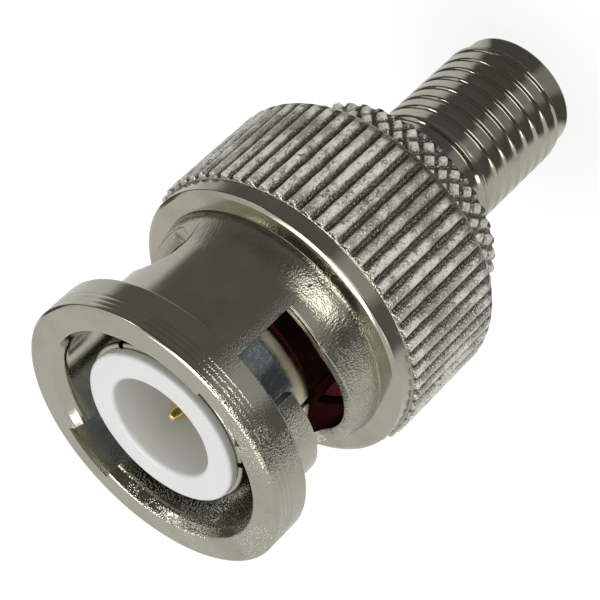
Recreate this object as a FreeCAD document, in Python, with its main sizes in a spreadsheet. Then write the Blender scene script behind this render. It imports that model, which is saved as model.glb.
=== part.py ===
import FreeCAD, Part
import math
import os
import re

import Sketcher

# Adapter between a BNC plug and an SMA jack, millimetres.
# It stands on the open end of its SMA jack: that end face is at height 0,
# +Z runs along the common axis to the mouth of the BNC side.

doc = FreeCAD.newDocument("BncSmaAdapter")
sheet = doc.addObject("Spreadsheet::Sheet", "Sizes")

SIZES = {
    # Overall
    "total_length": 25.8,  # length from the SMA end face to the BNC mouth
    # SMA jack
    "thread_radius": 3.175,  # thread outside radius, quarter inch
    "land_radius": 2.95,  # smooth land radius at the open end
    "land_height": 0.9,  # smooth land height
    "land_bevel": 0.12,  # bevel at the open end
    "barrel_radius": 3.0,  # barrel radius above the thread
    "barrel_length": 2.3,  # plain barrel between the thread and the collar
    "jack_bore_radius": 2.32,  # jack mouth bore radius
    "jack_depth": 1.9,  # depth of the mating plane in the jack
    "jack_insulator_radius": 2.06,  # insulator radius in the jack
    "socket_radius": 0.635,  # contact radius
    "socket_hole_radius": 0.47,  # contact hole radius
    "socket_hole_depth": 3.0,  # contact hole depth
    "socket_slit": 0.2,  # width of the slits in the contact
    # Body
    "collar_height": 1.95,  # collar height
    "collar_radius": 5.6,  # collar radius
    "collar_bevel": 0.3,  # collar edge bevel
    "point_rows": 40,  # grooves of each hand in the collar's diamond knurl
    "point_tilt": 42.0,  # lean of those grooves from the axis, degrees
    "point_depth": 0.26,  # depth of the diamond knurl
    "point_flank": 58.0,  # flank angle of its grooves, degrees
    "neck_wall": 0.65,  # wall of the neck round the contact's root
    "neck_length": 3.5,  # neck length between collar and flange
    "flange_step": 1.26,  # step from the neck out to the flange
    "flange_height": 0.9,  # flange thickness
    "running_gap": 0.08,  # running clearance of turning pieces
    "face_gap": 0.04,  # play between flat faces at rest
    # BNC inner conductor parts
    "contact_radius": 4.0,  # outer contact radius at its tip
    "contact_wall": 0.42,  # outer contact wall
    "contact_tip_length": 4.4,  # outer contact tip length
    "contact_bevel": 0.15,  # bevel at the front of the outer contact
    "contact_depth": 0.95,  # outer contact depth below the mouth
    "waist_step": 0.3,  # step from the tip down to the waist behind it
    "root_step": 0.25,  # step from the waist down to the root
    "root_depth": 3.2,  # depth of the root in the body
    "contact_slits": 6,  # number of slits in the outer contact
    "slit_width": 0.32,  # width of a slit in the outer contact
    "slit_length": 7.2,  # length of the slits
    "slit_angle": -87.0,  # direction of the first slit, degrees
    "insulator_depth": 0.5,  # insulator depth below the mouth
    "insulator_wall": 1.08,  # wall of the insulator round its bore
    "insulator_bore_depth": 8.0,  # insulator bore depth
    "insulator_round": 0.35,  # insulator edge rounding
    "pin_radius": 0.675,  # pin radius
    "pin_depth": 1.5,  # pin tip depth below the mouth
    "pin_taper": 1.1,  # pin tip taper length
    "pin_tip_radius": 0.12,  # pin tip flat radius
    "shoulder_radius": 1.15,  # pin shoulder radius
    "shoulder_height": 0.8,  # pin shoulder height
    "spigot_radius": 0.4,  # pin spigot radius
    "spigot_length": 1.8,  # pin spigot length
    # Seal and spring
    "gasket_width": 1.15,  # gasket width from the contact's waist outwards
    "gasket_height": 1.5,  # gasket height
    "gasket_round": 0.25,  # gasket edge rounding
    "wave_height": 0.92,  # room for the wave washer at rest
    "wave_strip": 0.2,  # wave washer strip thickness
    "wave_count": 3,  # number of waves
    "thrust_height": 0.35,  # thrust washer thickness
    "ring_height": 0.6,  # retaining ring thickness
    "ring_step": 0.65,  # room between the neck and the retaining ring
    "ring_reach": 0.43,  # reach of the retaining ring into the nut
    "ring_split": 1.6,  # gap in the retaining ring
    # Coupling nut
    "nut_length": 14.6,  # length of the coupling nut
    "nut_gap": 0.15,  # gap between nut and collar
    "lip_step": 1.12,  # step from the sleeve out to the lip
    "lip_height": 1.9,  # lip height
    "lip_bevel": 0.12,  # lip edge bevel
    "mouth_bevel": 0.35,  # mouth bevel width
    "mouth_bevel_height": 0.45,  # mouth bevel height
    "shell_room": 1.0,  # room for the mating shell round the outer contact
    "sleeve_wall": 0.5,  # wall of the bayonet sleeve
    "flare_width": 0.35,  # sleeve to shoulder flare width
    "flare_height": 1.8,  # sleeve to shoulder flare height
    "grip_depth": 7.7,  # grip depth below the mouth
    "grip_wall": 1.44,  # wall of the grip at the root of its knurl
    "front_setback": 0.05,  # step from the knurl's root in to the front band
    "grip_round": 0.13,  # grip edge rounding
    "grip_band": 0.9,  # smooth band before the knurl
    "knurl_depth": 0.24,  # knurl depth
    "knurl_teeth": 60,  # number of knurl teeth
    "flank_angle": 49.0,  # flank angle of the knurl groove, degrees
    "shoulder_drop": 0.75,  # rear shoulder height
    "rear_setback": 0.38,  # step from the knurl's root in to the rear edge
    "snap_depth": 0.5,  # snap groove depth
    # Bayonet slots
    "entry_width": 2.5,  # slot width at the entry
    "notch_depth": 0.7,  # depth of the entry notches in the lip
    "entry_angle": -104.2,  # direction of the entry, degrees
    "entry_floor": 5.75,  # depth of the entry floor below the mouth
    "slot_turn": 90.0,  # turn of the slot, degrees
    "slot_width": 2.3,  # axial width of the sloping slot
    "slot_rise": 1.3,  # rise of the slot over its turn
    "floor_step": 0.16,  # step between the entry floor and the slope
    "pocket_radius": 1.32,  # radius of the locking pocket
}

for row, (alias, value) in enumerate(SIZES.items(), start=1):
    sheet.set("A%d" % row, alias.replace("_", " "))
    sheet.set("B%d" % row, str(value))
    sheet.setAlias("B%d" % row, alias)
doc.recompute()

WORD = re.compile(r"\b(%s)\b" % "|".join(sorted(SIZES, key=len, reverse=True)))


def bound(text):
    """Return the expression with every size name pointing at the sheet."""
    return WORD.sub(r"Sizes.\1", text)


def size(text):
    """Return one size, or a sum of sizes, as a number."""
    return float(sheet.evalExpression(bound(text)))


# Heights and radii that several pieces share, each from the sizes they stand on.
NUT_FOOT = "total_length - nut_length"
COLLAR_TOP = NUT_FOOT + " - nut_gap"
COLLAR_UNDER = COLLAR_TOP + " - collar_height"
THREAD_END = COLLAR_UNDER + " - barrel_length"
FLANGE_UNDER = COLLAR_TOP + " + neck_length"
FLANGE_TOP = FLANGE_UNDER + " + flange_height"
NUT_STEP = FLANGE_TOP + " + face_gap"
MOUTH = "total_length"
GRIP_FRONT = "total_length - grip_depth"
THRUST_TOP = FLANGE_UNDER + " - wave_height"
THRUST_UNDER = THRUST_TOP + " - thrust_height"
RING_UNDER = THRUST_UNDER + " - ring_height"
ROOT_END = FLANGE_TOP + " - root_depth"
WAIST = "contact_radius - waist_step"
ROOT = WAIST + " - root_step"
WAIST_BORE = WAIST + " - contact_wall"
ROOT_BORE = ROOT + " - contact_wall"
TIP_BORE = "contact_radius - contact_wall"
INSULATOR_BORE = TIP_BORE + " - insulator_wall"
NECK = ROOT + " + neck_wall"
FLANGE = NECK + " + flange_step"
COUNTERBORE = FLANGE + " + running_gap"
NUT_BORE = "contact_radius + shell_room"
SLEEVE = NUT_BORE + " + sleeve_wall"
LIP = SLEEVE + " + lip_step"
KNURL_ROOT = COUNTERBORE + " + grip_wall"
GRIP_EDGE = KNURL_ROOT + " - front_setback"
REAR_EDGE = KNURL_ROOT + " - rear_setback"
RING_IN = NECK + " + ring_step"
RING_OUT = COUNTERBORE + " + ring_reach"
GASKET = WAIST + " + gasket_width"
NOTCH_REACH = NUT_BORE + " + notch_depth"
BAND = "(contact_radius + " + NUT_BORE + ") / 2"
CONTACT_FRONT = "total_length - contact_depth"
CONTACT_BACK = CONTACT_FRONT + " - contact_tip_length"
SLOPE_END = CONTACT_BACK + " - waist_step"
SHOULDER_TOP = ROOT_END + " + shoulder_height"


def origin_plane(body, role):
    """Return the body's own origin plane or axis of that role."""
    return [f for f in body.Origin.OriginFeatures if f.Role == role][0]


def new_body(node):
    """Start the body of one sub-part."""
    body = doc.addObject("PartDesign::Body", node)
    body.Label = node
    return body


def new_sketch(body, name, plane, height=None, turn=None):
    """Add a sketch on an origin plane, raised or turned about the main axis."""
    sketch = body.newObject("Sketcher::SketchObject", name)
    sketch.AttachmentSupport = [(origin_plane(body, plane), "")]
    sketch.MapMode = "FlatFace"
    if height:
        sketch.setExpression("AttachmentOffset.Base.z", bound(height))
    if turn:
        axis = FreeCAD.Vector(0, 1, 0) if plane == "XZ_Plane" else FreeCAD.Vector(0, 0, 1)
        sketch.AttachmentOffset = FreeCAD.Placement(FreeCAD.Vector(), FreeCAD.Rotation(axis, 0))
        sketch.setExpression("AttachmentOffset.Rotation.Angle", bound(turn))
    return sketch


def bind(sketch, kind, geometry, point, text):
    """Tie one coordinate of a sketch point to an expression of the sheet."""
    if text == "0":
        axis = -2 if kind == "DistanceX" else -1
        sketch.addConstraint(Sketcher.Constraint("PointOnObject", geometry, point, axis))
        return
    sign = -1 if text.startswith("-") else 1
    first, last = ((-1, 1), (geometry, point)) if sign > 0 else ((geometry, point), (-1, 1))
    index = sketch.addConstraint(Sketcher.Constraint(kind, *first, *last, 1.0 + geometry))
    name = "%s%d" % (kind[-1].lower(), geometry)
    sketch.renameConstraint(index, name)
    sketch.setExpression("Constraints." + name, bound(text.lstrip("-")))


DRAFT = 10.0  # each outline is first drawn as a small ring here, and its sizes pull it into place


def outline(sketch, points):
    """Draw a closed outline through points given as pairs of expressions."""
    count = len(points)
    for i in range(count):
        a, b = 2.0 * math.pi * i / count, 2.0 * math.pi * (i + 1) / count
        start = FreeCAD.Vector(DRAFT + math.cos(a), DRAFT + math.sin(a), 0)
        end = FreeCAD.Vector(DRAFT + math.cos(b), DRAFT + math.sin(b), 0)
        sketch.addGeometry(Part.LineSegment(start, end), False)
    for i in range(count):
        sketch.addConstraint(Sketcher.Constraint("Coincident", i, 2, (i + 1) % count, 1))
    for i, (across, along) in enumerate(points):
        bind(sketch, "DistanceX", i, 1, across)
        bind(sketch, "DistanceY", i, 1, along)


def revolve(body, name, points, groove=False):
    """Turn an outline of (radius, height) pairs about the main axis."""
    sketch = new_sketch(body, name + "Sketch", "XZ_Plane")
    outline(sketch, points)
    kind = "PartDesign::Groove" if groove else "PartDesign::Revolution"
    feature = body.newObject(kind, name)
    feature.Profile = sketch
    feature.ReferenceAxis = (sketch, ["V_Axis"])
    feature.Angle = 360.0
    return feature


def pocket(body, name, sketch, length=None, upward=False, midplane=False):
    """Cut a sketch through everything or over a bound length."""
    feature = body.newObject("PartDesign::Pocket", name)
    feature.Profile = sketch
    if length:
        feature.Type = "Length"
        feature.setExpression("Length", bound(length))
    else:
        feature.Type = "ThroughAll"
    feature.Reversed = upward
    if midplane:
        feature.SideType = "Symmetric"
    return feature


def polar(body, name, originals, sketch, count):
    """Repeat features evenly about the main axis, which is also the normal of a level sketch."""
    feature = body.newObject("PartDesign::PolarPattern", name)
    feature.Originals = originals
    feature.Axis = (sketch, ["N_Axis"]) if sketch else (origin_plane(body, "Z_Axis"), [""])
    feature.Angle = 360.0
    feature.setExpression("Occurrences", bound(count))
    body.Tip = feature
    return feature


# Main body: one turned piece, from the threaded jack barrel to the flange.
main_body = new_body("main_body")
revolve(main_body, "BodyTurning", [
    ("jack_bore_radius", "0"),
    ("land_radius - land_bevel", "0"),
    ("land_radius", "land_bevel"),
    ("land_radius", "land_height"),
    ("thread_radius", "land_height + thread_radius - land_radius"),
    ("thread_radius", THREAD_END),
    ("barrel_radius", THREAD_END + " + thread_radius - barrel_radius"),
    ("barrel_radius", COLLAR_UNDER),
    ("collar_radius - collar_bevel", COLLAR_UNDER),
    ("collar_radius", COLLAR_UNDER + " + collar_bevel"),
    ("collar_radius", COLLAR_TOP + " - collar_bevel"),
    ("collar_radius - collar_bevel", COLLAR_TOP),
    (NECK, COLLAR_TOP),
    (NECK, FLANGE_UNDER),
    (FLANGE, FLANGE_UNDER),
    (FLANGE, FLANGE_TOP),
    (ROOT, FLANGE_TOP),
    (ROOT, ROOT_END),
    ("jack_insulator_radius", ROOT_END),
    ("jack_insulator_radius", "jack_depth"),
    ("jack_bore_radius", "jack_depth"),
])

# Diamond knurl on the collar: a straight groove that leans to the left, one that leans to the
# right, and both repeated about the axis, so that points stand between them.
for hand, lean in (("Left", "point_tilt"), ("Right", "-point_tilt")):
    groove = new_sketch(main_body, hand + "GrooveSketch", "XY_Plane")
    groove.AttachmentOffset = FreeCAD.Placement(FreeCAD.Vector(), FreeCAD.Rotation(FreeCAD.Vector(1, 0, 0), 0))
    groove.setExpression("AttachmentOffset.Rotation.Angle", bound(lean))
    groove.setExpression("AttachmentOffset.Base.z", bound(COLLAR_UNDER + " + collar_height / 2"))
    half = "((point_depth + 0.3) * tan(point_flank))"
    outline(groove, [
        ("collar_radius - point_depth", "0"),
        ("collar_radius + 0.3", "-" + half),
        ("collar_radius + 0.3", half),
    ])
    cut = pocket(main_body, hand + "Groove", groove, "collar_height * 2", midplane=True)
    polar(main_body, hand + "Grooves", [cut], None, "point_rows")

# Outer contact: a slit tube whose tip is wider than its waist.
outer_contact = new_body("outer_contact")
revolve(outer_contact, "ContactTurning", [
    (ROOT, ROOT_END),
    (ROOT, FLANGE_TOP),
    (WAIST, FLANGE_TOP),
    (WAIST, SLOPE_END),
    ("contact_radius", CONTACT_BACK),
    ("contact_radius", CONTACT_FRONT + " - contact_bevel"),
    ("contact_radius - contact_bevel", CONTACT_FRONT),
    (TIP_BORE, CONTACT_FRONT),
    (TIP_BORE, CONTACT_BACK),
    (WAIST_BORE, SLOPE_END),
    (WAIST_BORE, FLANGE_TOP + " + contact_wall"),
    (ROOT_BORE, FLANGE_TOP + " + contact_wall"),
    (ROOT_BORE, ROOT_END),
])
slit = new_sketch(outer_contact, "SlitSketch", "XY_Plane", CONTACT_FRONT, "slit_angle")
outline(slit, [
    ("1", "-slit_width / 2"),
    ("contact_radius + 1", "-slit_width / 2"),
    ("contact_radius + 1", "slit_width / 2"),
    ("1", "slit_width / 2"),
])
slit_cut = pocket(outer_contact, "Slit", slit, "slit_length")
polar(outer_contact, "Slits", [slit_cut], slit, "contact_slits")

# White insulator of the BNC side, with its deep bore and rounded front edge.
bnc_insulator = new_body("bnc_insulator")
revolve(bnc_insulator, "InsulatorTurning", [
    ("shoulder_radius", ROOT_END),
    (ROOT_BORE, ROOT_END),
    (ROOT_BORE, FLANGE_TOP + " + contact_wall"),
    (WAIST_BORE, FLANGE_TOP + " + contact_wall"),
    (WAIST_BORE, SLOPE_END),
    (TIP_BORE, CONTACT_BACK),
    (TIP_BORE, "total_length - insulator_depth - insulator_round"),
    (TIP_BORE + " - insulator_round * 0.3", "total_length - insulator_depth - insulator_round * 0.3"),
    (TIP_BORE + " - insulator_round", "total_length - insulator_depth"),
    (INSULATOR_BORE + " + insulator_round / 2", "total_length - insulator_depth"),
    (INSULATOR_BORE, "total_length - insulator_depth - insulator_round / 2"),
    (INSULATOR_BORE, "total_length - insulator_depth - insulator_bore_depth"),
    ("pin_radius", "total_length - insulator_depth - insulator_bore_depth"),
    ("pin_radius", SHOULDER_TOP),
    ("shoulder_radius", SHOULDER_TOP),
])

# Pin of the BNC side, held by its shoulder, with a spigot into the socket.
bnc_pin = new_body("bnc_pin")
revolve(bnc_pin, "PinTurning", [
    ("0", ROOT_END + " - spigot_length"),
    ("spigot_radius", ROOT_END + " - spigot_length"),
    ("spigot_radius", ROOT_END),
    ("shoulder_radius", ROOT_END),
    ("shoulder_radius", SHOULDER_TOP),
    ("pin_radius", SHOULDER_TOP),
    ("pin_radius", "total_length - pin_depth - pin_taper"),
    ("pin_tip_radius", "total_length - pin_depth"),
    ("0", "total_length - pin_depth"),
])

# White insulator of the SMA jack.
sma_insulator = new_body("sma_insulator")
revolve(sma_insulator, "JackInsulatorTurning", [
    ("socket_radius", "jack_depth"),
    ("jack_insulator_radius", "jack_depth"),
    ("jack_insulator_radius", ROOT_END),
    ("socket_radius", ROOT_END),
])

# Socket of the SMA jack: drilled and slit at the mating end.
sma_socket = new_body("sma_socket")
revolve(sma_socket, "SocketTurning", [
    ("socket_hole_radius", "jack_depth"),
    ("socket_radius", "jack_depth"),
    ("socket_radius", ROOT_END),
    ("spigot_radius", ROOT_END),
    ("spigot_radius", ROOT_END + " - spigot_length"),
    ("0", ROOT_END + " - spigot_length"),
    ("0", "jack_depth + socket_hole_depth"),
    ("socket_hole_radius", "jack_depth + socket_hole_depth"),
])
cross = new_sketch(sma_socket, "CrossSketch", "XY_Plane", "jack_depth")
outline(cross, [
    ("0", "-socket_slit / 2"),
    ("socket_radius + 1", "-socket_slit / 2"),
    ("socket_radius + 1", "socket_slit / 2"),
    ("0", "socket_slit / 2"),
])
cross_cut = pocket(sma_socket, "SocketSlit", cross, "socket_hole_depth - socket_radius", upward=True)
polar(sma_socket, "SocketSlits", [cross_cut], cross, "4")

# Gasket at the bottom of the bayonet sleeve.
gasket = new_body("gasket")
revolve(gasket, "GasketTurning", [
    (WAIST, FLANGE_TOP),
    (GASKET, FLANGE_TOP),
    (GASKET, FLANGE_TOP + " + gasket_height - gasket_round"),
    (GASKET + " - gasket_round", FLANGE_TOP + " + gasket_height"),
    (WAIST + " + gasket_round", FLANGE_TOP + " + gasket_height"),
    (WAIST, FLANGE_TOP + " + gasket_height - gasket_round"),
])

# Thrust washer, free to slide along the neck.
thrust_washer = new_body("thrust_washer")
revolve(thrust_washer, "ThrustTurning", [
    (NECK + " + running_gap", THRUST_UNDER),
    (COUNTERBORE + " - running_gap", THRUST_UNDER),
    (COUNTERBORE + " - running_gap", THRUST_TOP),
    (NECK + " + running_gap", THRUST_TOP),
])

# Retaining ring: a split ring that sits in the snap groove of the nut.
retaining_ring = new_body("retaining_ring")
revolve(retaining_ring, "RingTurning", [
    (RING_IN, RING_UNDER),
    (RING_OUT, RING_UNDER),
    (RING_OUT, THRUST_UNDER),
    (RING_IN, THRUST_UNDER),
])
gap = new_sketch(retaining_ring, "RingGapSketch", "XY_Plane", THRUST_UNDER)
outline(gap, [
    ("1", "-ring_split / 2"),
    (RING_OUT + " + 1", "-ring_split / 2"),
    (RING_OUT + " + 1", "ring_split / 2"),
    ("1", "ring_split / 2"),
])
pocket(retaining_ring, "RingGap", gap, midplane=True)

# Coupling nut: lip, bayonet sleeve and knurled grip in one casting.
nut_blank = new_body("NutBlank")
revolve(nut_blank, "NutTurning", [
    (COUNTERBORE, NUT_FOOT),
    (REAR_EDGE, NUT_FOOT),
    (REAR_EDGE + " + rear_setback * 0.9", NUT_FOOT + " + shoulder_drop * 0.4"),
    (KNURL_ROOT + " + knurl_depth", NUT_FOOT + " + shoulder_drop"),
    (KNURL_ROOT + " + knurl_depth", GRIP_FRONT + " - grip_band - knurl_depth"),
    (KNURL_ROOT, GRIP_FRONT + " - grip_band"),
    (GRIP_EDGE, GRIP_FRONT + " - grip_round"),
    (GRIP_EDGE + " - grip_round", GRIP_FRONT),
    (SLEEVE + " + flare_width", GRIP_FRONT),
    (SLEEVE + " + flare_width / 2", GRIP_FRONT + " + flare_height / 5"),
    (SLEEVE + " + flare_width / 7", GRIP_FRONT + " + flare_height / 2"),
    (SLEEVE, GRIP_FRONT + " + flare_height"),
    (SLEEVE, "total_length - lip_height - lip_bevel"),
    (SLEEVE + " + lip_bevel", "total_length - lip_height"),
    (LIP + " - lip_bevel", "total_length - lip_height"),
    (LIP, "total_length - lip_height + lip_bevel"),
    (LIP, "total_length - lip_bevel"),
    (LIP + " - lip_bevel", MOUTH),
    (NUT_BORE + " + mouth_bevel", MOUTH),
    (NUT_BORE, "total_length - mouth_bevel_height"),
    (NUT_BORE, NUT_STEP),
    (COUNTERBORE, NUT_STEP),
    (COUNTERBORE, THRUST_UNDER + " + face_gap"),
    (COUNTERBORE + " + snap_depth", THRUST_UNDER + " + face_gap"),
    (COUNTERBORE + " + snap_depth", RING_UNDER + " - face_gap"),
    (COUNTERBORE, RING_UNDER + " - face_gap"),
])

# Straight knurl: one groove cut down the grip, repeated about the axis.
knurl = new_sketch(nut_blank, "KnurlSketch", "XY_Plane")
CREST_HALF = "((knurl_depth + 1) * tan(flank_angle))"
outline(knurl, [
    (KNURL_ROOT, "0"),
    (KNURL_ROOT + " + knurl_depth + 1", "-" + CREST_HALF),
    (KNURL_ROOT + " + knurl_depth + 1", CREST_HALF),
])
knurl_cut = pocket(nut_blank, "KnurlGroove", knurl, upward=True)
polar(nut_blank, "Knurl", [knurl_cut], knurl, "knurl_teeth")

# Bayonet slots: a notch inside the lip and the open entry through the sleeve.
# The blank is drawn with its locking pockets on the X axis.
notch = new_sketch(nut_blank, "NotchSketch", "XY_Plane", MOUTH, "slot_turn")
outline(notch, [
    ("contact_radius", "-entry_width / 2"),
    (NOTCH_REACH, "-entry_width / 2"),
    (NOTCH_REACH, "entry_width / 2"),
    ("contact_radius", "entry_width / 2"),
])
notch_cut = pocket(nut_blank, "Notch", notch, "lip_height + 0.5")
entry = new_sketch(nut_blank, "EntrySketch", "XY_Plane", "total_length - lip_height", "slot_turn")
outline(entry, [
    ("contact_radius", "-entry_width / 2"),
    (LIP, "-entry_width / 2"),
    (LIP, "entry_width / 2"),
    ("contact_radius", "entry_width / 2"),
])
entry_cut = pocket(nut_blank, "Entry", entry, "entry_floor - lip_height")
polar(nut_blank, "EntryPair", [notch_cut, entry_cut], notch, "2")

RUN_LOW = "total_length - entry_floor - slot_rise + floor_step"
LOCK_LEVEL = RUN_LOW + " + pocket_radius"


def slot_cutter(name, facing):
    """Make the cutters of one sloping run and its pocket, facing +X or -X."""
    sign = "" if facing > 0 else "-"
    yaw = 0 if facing > 0 else 180
    path = doc.addObject("Part::Helix", name + "Path")
    path.Placement = FreeCAD.Placement(FreeCAD.Vector(), FreeCAD.Rotation(yaw, 0, 0))
    path.setExpression("Placement.Base.z", bound(RUN_LOW))
    path.setExpression("Radius", bound(SLEEVE))
    path.setExpression("Height", bound("slot_rise"))
    path.setExpression("Pitch", bound("slot_rise * 360 / slot_turn"))
    section = doc.addObject("Part::Plane", name + "Section")
    section.Placement = FreeCAD.Placement(FreeCAD.Vector(), FreeCAD.Rotation(yaw, 0, 90))
    section.setExpression("Placement.Base.x", bound(sign + BAND))
    section.setExpression("Placement.Base.z", bound(RUN_LOW))
    section.setExpression("Length", bound(LIP + " - contact_radius"))
    section.setExpression("Width", bound("slot_width"))
    run = doc.addObject("Part::Sweep", name + "Run")
    run.Sections = [section]
    run.Spine = (path, ["Edge1"])
    run.Solid = True
    run.Frenet = True
    lock = doc.addObject("Part::Cylinder", name + "Lock")
    turn = FreeCAD.Rotation(FreeCAD.Vector(0, 1, 0), 90 * facing)
    lock.Placement = FreeCAD.Placement(FreeCAD.Vector(), turn)
    lock.setExpression("Placement.Base.x", bound(sign + BAND))
    lock.setExpression("Placement.Base.z", bound(LOCK_LEVEL))
    lock.setExpression("Radius", bound("pocket_radius"))
    lock.setExpression("Height", bound(LIP + " - contact_radius"))
    return [run, lock]


slot_tools = doc.addObject("Part::MultiFuse", "SlotTools")
slot_tools.Shapes = slot_cutter("SlotA", 1) + slot_cutter("SlotB", -1)
coupling_nut = doc.addObject("Part::Cut", "coupling_nut")
coupling_nut.Label = "coupling_nut"
coupling_nut.Base = nut_blank
coupling_nut.Tool = slot_tools
coupling_nut.Placement = FreeCAD.Placement(FreeCAD.Vector(), FreeCAD.Rotation(FreeCAD.Vector(0, 0, 1), 0))
coupling_nut.setExpression("Placement.Rotation.Angle", bound("entry_angle - slot_turn"))


# Wave washer: a flat strip bent into even waves round the neck.
def wave_edge(radius, base, swing, waves):
    """Return a closed smooth edge that rises and falls round the axis."""
    points = []
    for i in range(waves * 8):
        a = 2.0 * math.pi * i / (waves * 8)
        height = base + swing * math.cos(waves * a)
        points.append(FreeCAD.Vector(radius * math.cos(a), radius * math.sin(a), height))
    curve = Part.BSplineCurve()
    curve.interpolate(Points=points, PeriodicFlag=True)
    return curve.toShape()


inner = size(NECK + " + running_gap * 2")
outer = size(FLANGE + " - running_gap")
strip = size("wave_strip")
swing = (size("wave_height") - strip) / 2
middle = size(FLANGE_UNDER + " - wave_height / 2")
waves = int(size("wave_count"))
low_in = wave_edge(inner, middle - strip / 2, swing, waves)
low_out = wave_edge(outer, middle - strip / 2, swing, waves)
high_in = wave_edge(inner, middle + strip / 2, swing, waves)
high_out = wave_edge(outer, middle + strip / 2, swing, waves)
skins = [
    Part.makeRuledSurface(low_in, low_out),
    Part.makeRuledSurface(high_in, high_out),
    Part.makeRuledSurface(low_in, high_in),
    Part.makeRuledSurface(low_out, high_out),
]
shell = Part.Shell([face for skin in skins for face in skin.Faces])
wave = Part.Solid(shell)
if wave.Volume < 0:
    wave.reverse()
wave_washer = doc.addObject("Part::Feature", "wave_washer")
wave_washer.Label = "wave_washer"
wave_washer.Shape = wave
wave_washer.Placement = FreeCAD.Placement()

doc.recompute()

NODES = [
    main_body, outer_contact, bnc_insulator, bnc_pin, sma_insulator, sma_socket,
    gasket, wave_washer, thrust_washer, retaining_ring, coupling_nut,
]

for item in doc.Objects:
    if "Invalid" in item.State or "Error" in item.State:
        raise RuntimeError("%s did not build: %s" % (item.Name, item.State))
for node in NODES:
    if node.Shape.isNull() or not node.Shape.isValid():
        raise RuntimeError("%s has no valid shape" % node.Label)

os.makedirs("parts", exist_ok=True)
for node in NODES:
    node.Shape.exportStep("parts/%s.step" % node.Label)
    box = node.Shape.BoundBox
    print("%-16s volume %8.3f  solids %d  z %.3f to %.3f  r %.3f" % (
        node.Label, node.Shape.Volume, len(node.Shape.Solids), box.ZMin, box.ZMax, box.XMax))
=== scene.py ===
import math

import bmesh
import bpy
import numpy as np
from bpy.props import FloatProperty, FloatVectorProperty, IntProperty, PointerProperty
from mathutils import Matrix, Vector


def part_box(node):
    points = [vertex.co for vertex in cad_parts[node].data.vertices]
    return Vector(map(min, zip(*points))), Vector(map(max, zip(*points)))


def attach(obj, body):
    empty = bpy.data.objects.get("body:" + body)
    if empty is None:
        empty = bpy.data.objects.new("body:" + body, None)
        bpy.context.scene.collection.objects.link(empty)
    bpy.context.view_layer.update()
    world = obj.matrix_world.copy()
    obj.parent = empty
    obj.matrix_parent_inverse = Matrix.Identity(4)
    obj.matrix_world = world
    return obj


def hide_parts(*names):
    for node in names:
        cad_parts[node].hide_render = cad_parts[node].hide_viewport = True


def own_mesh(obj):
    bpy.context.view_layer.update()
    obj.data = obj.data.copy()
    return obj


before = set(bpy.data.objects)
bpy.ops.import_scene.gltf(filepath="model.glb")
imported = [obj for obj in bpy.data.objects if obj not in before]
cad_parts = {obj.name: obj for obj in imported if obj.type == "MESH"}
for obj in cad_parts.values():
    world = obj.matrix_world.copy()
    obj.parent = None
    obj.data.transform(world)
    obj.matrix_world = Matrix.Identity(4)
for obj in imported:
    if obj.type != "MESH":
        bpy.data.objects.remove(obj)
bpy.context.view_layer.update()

bl_info = {
    "name": "Coaxial Adapter",
    "version": (1, 0, 0),
    "blender": (4, 5, 0),
    "location": "3D View > Sidebar > Adapter",
    "description": "Bayonet plug to threaded jack adapter with its finishes and studio",
    "category": "Object",
}

MM = 0.001
NUT_LOW, NUT_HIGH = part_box("coupling_nut")
BODY_LOW, BODY_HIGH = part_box("main_body")
CONTACT_LOW, CONTACT_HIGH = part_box("outer_contact")
WHITE_LOW, WHITE_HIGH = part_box("bnc_insulator")
PIN_LOW, PIN_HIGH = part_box("bnc_pin")
SEAL_LOW, SEAL_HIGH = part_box("gasket")
RING_LOW, RING_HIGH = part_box("retaining_ring")
WAVE_LOW, WAVE_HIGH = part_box("wave_washer")
MOUTH = NUT_HIGH.z


def length(name, default, description):
    """A size in metres with its name and meaning."""
    return FloatProperty(name=name, description=description, default=default, unit="LENGTH", precision=5)


def colour(name, default, description):
    """A surface colour."""
    return FloatVectorProperty(
        name=name, description=description, default=default, subtype="COLOR", size=3, min=0.0, max=1.0)


def share(name, default, description):
    """A number from none to full."""
    return FloatProperty(
        name=name, description=description, default=default, subtype="FACTOR", min=0.0, max=1.0)


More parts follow.
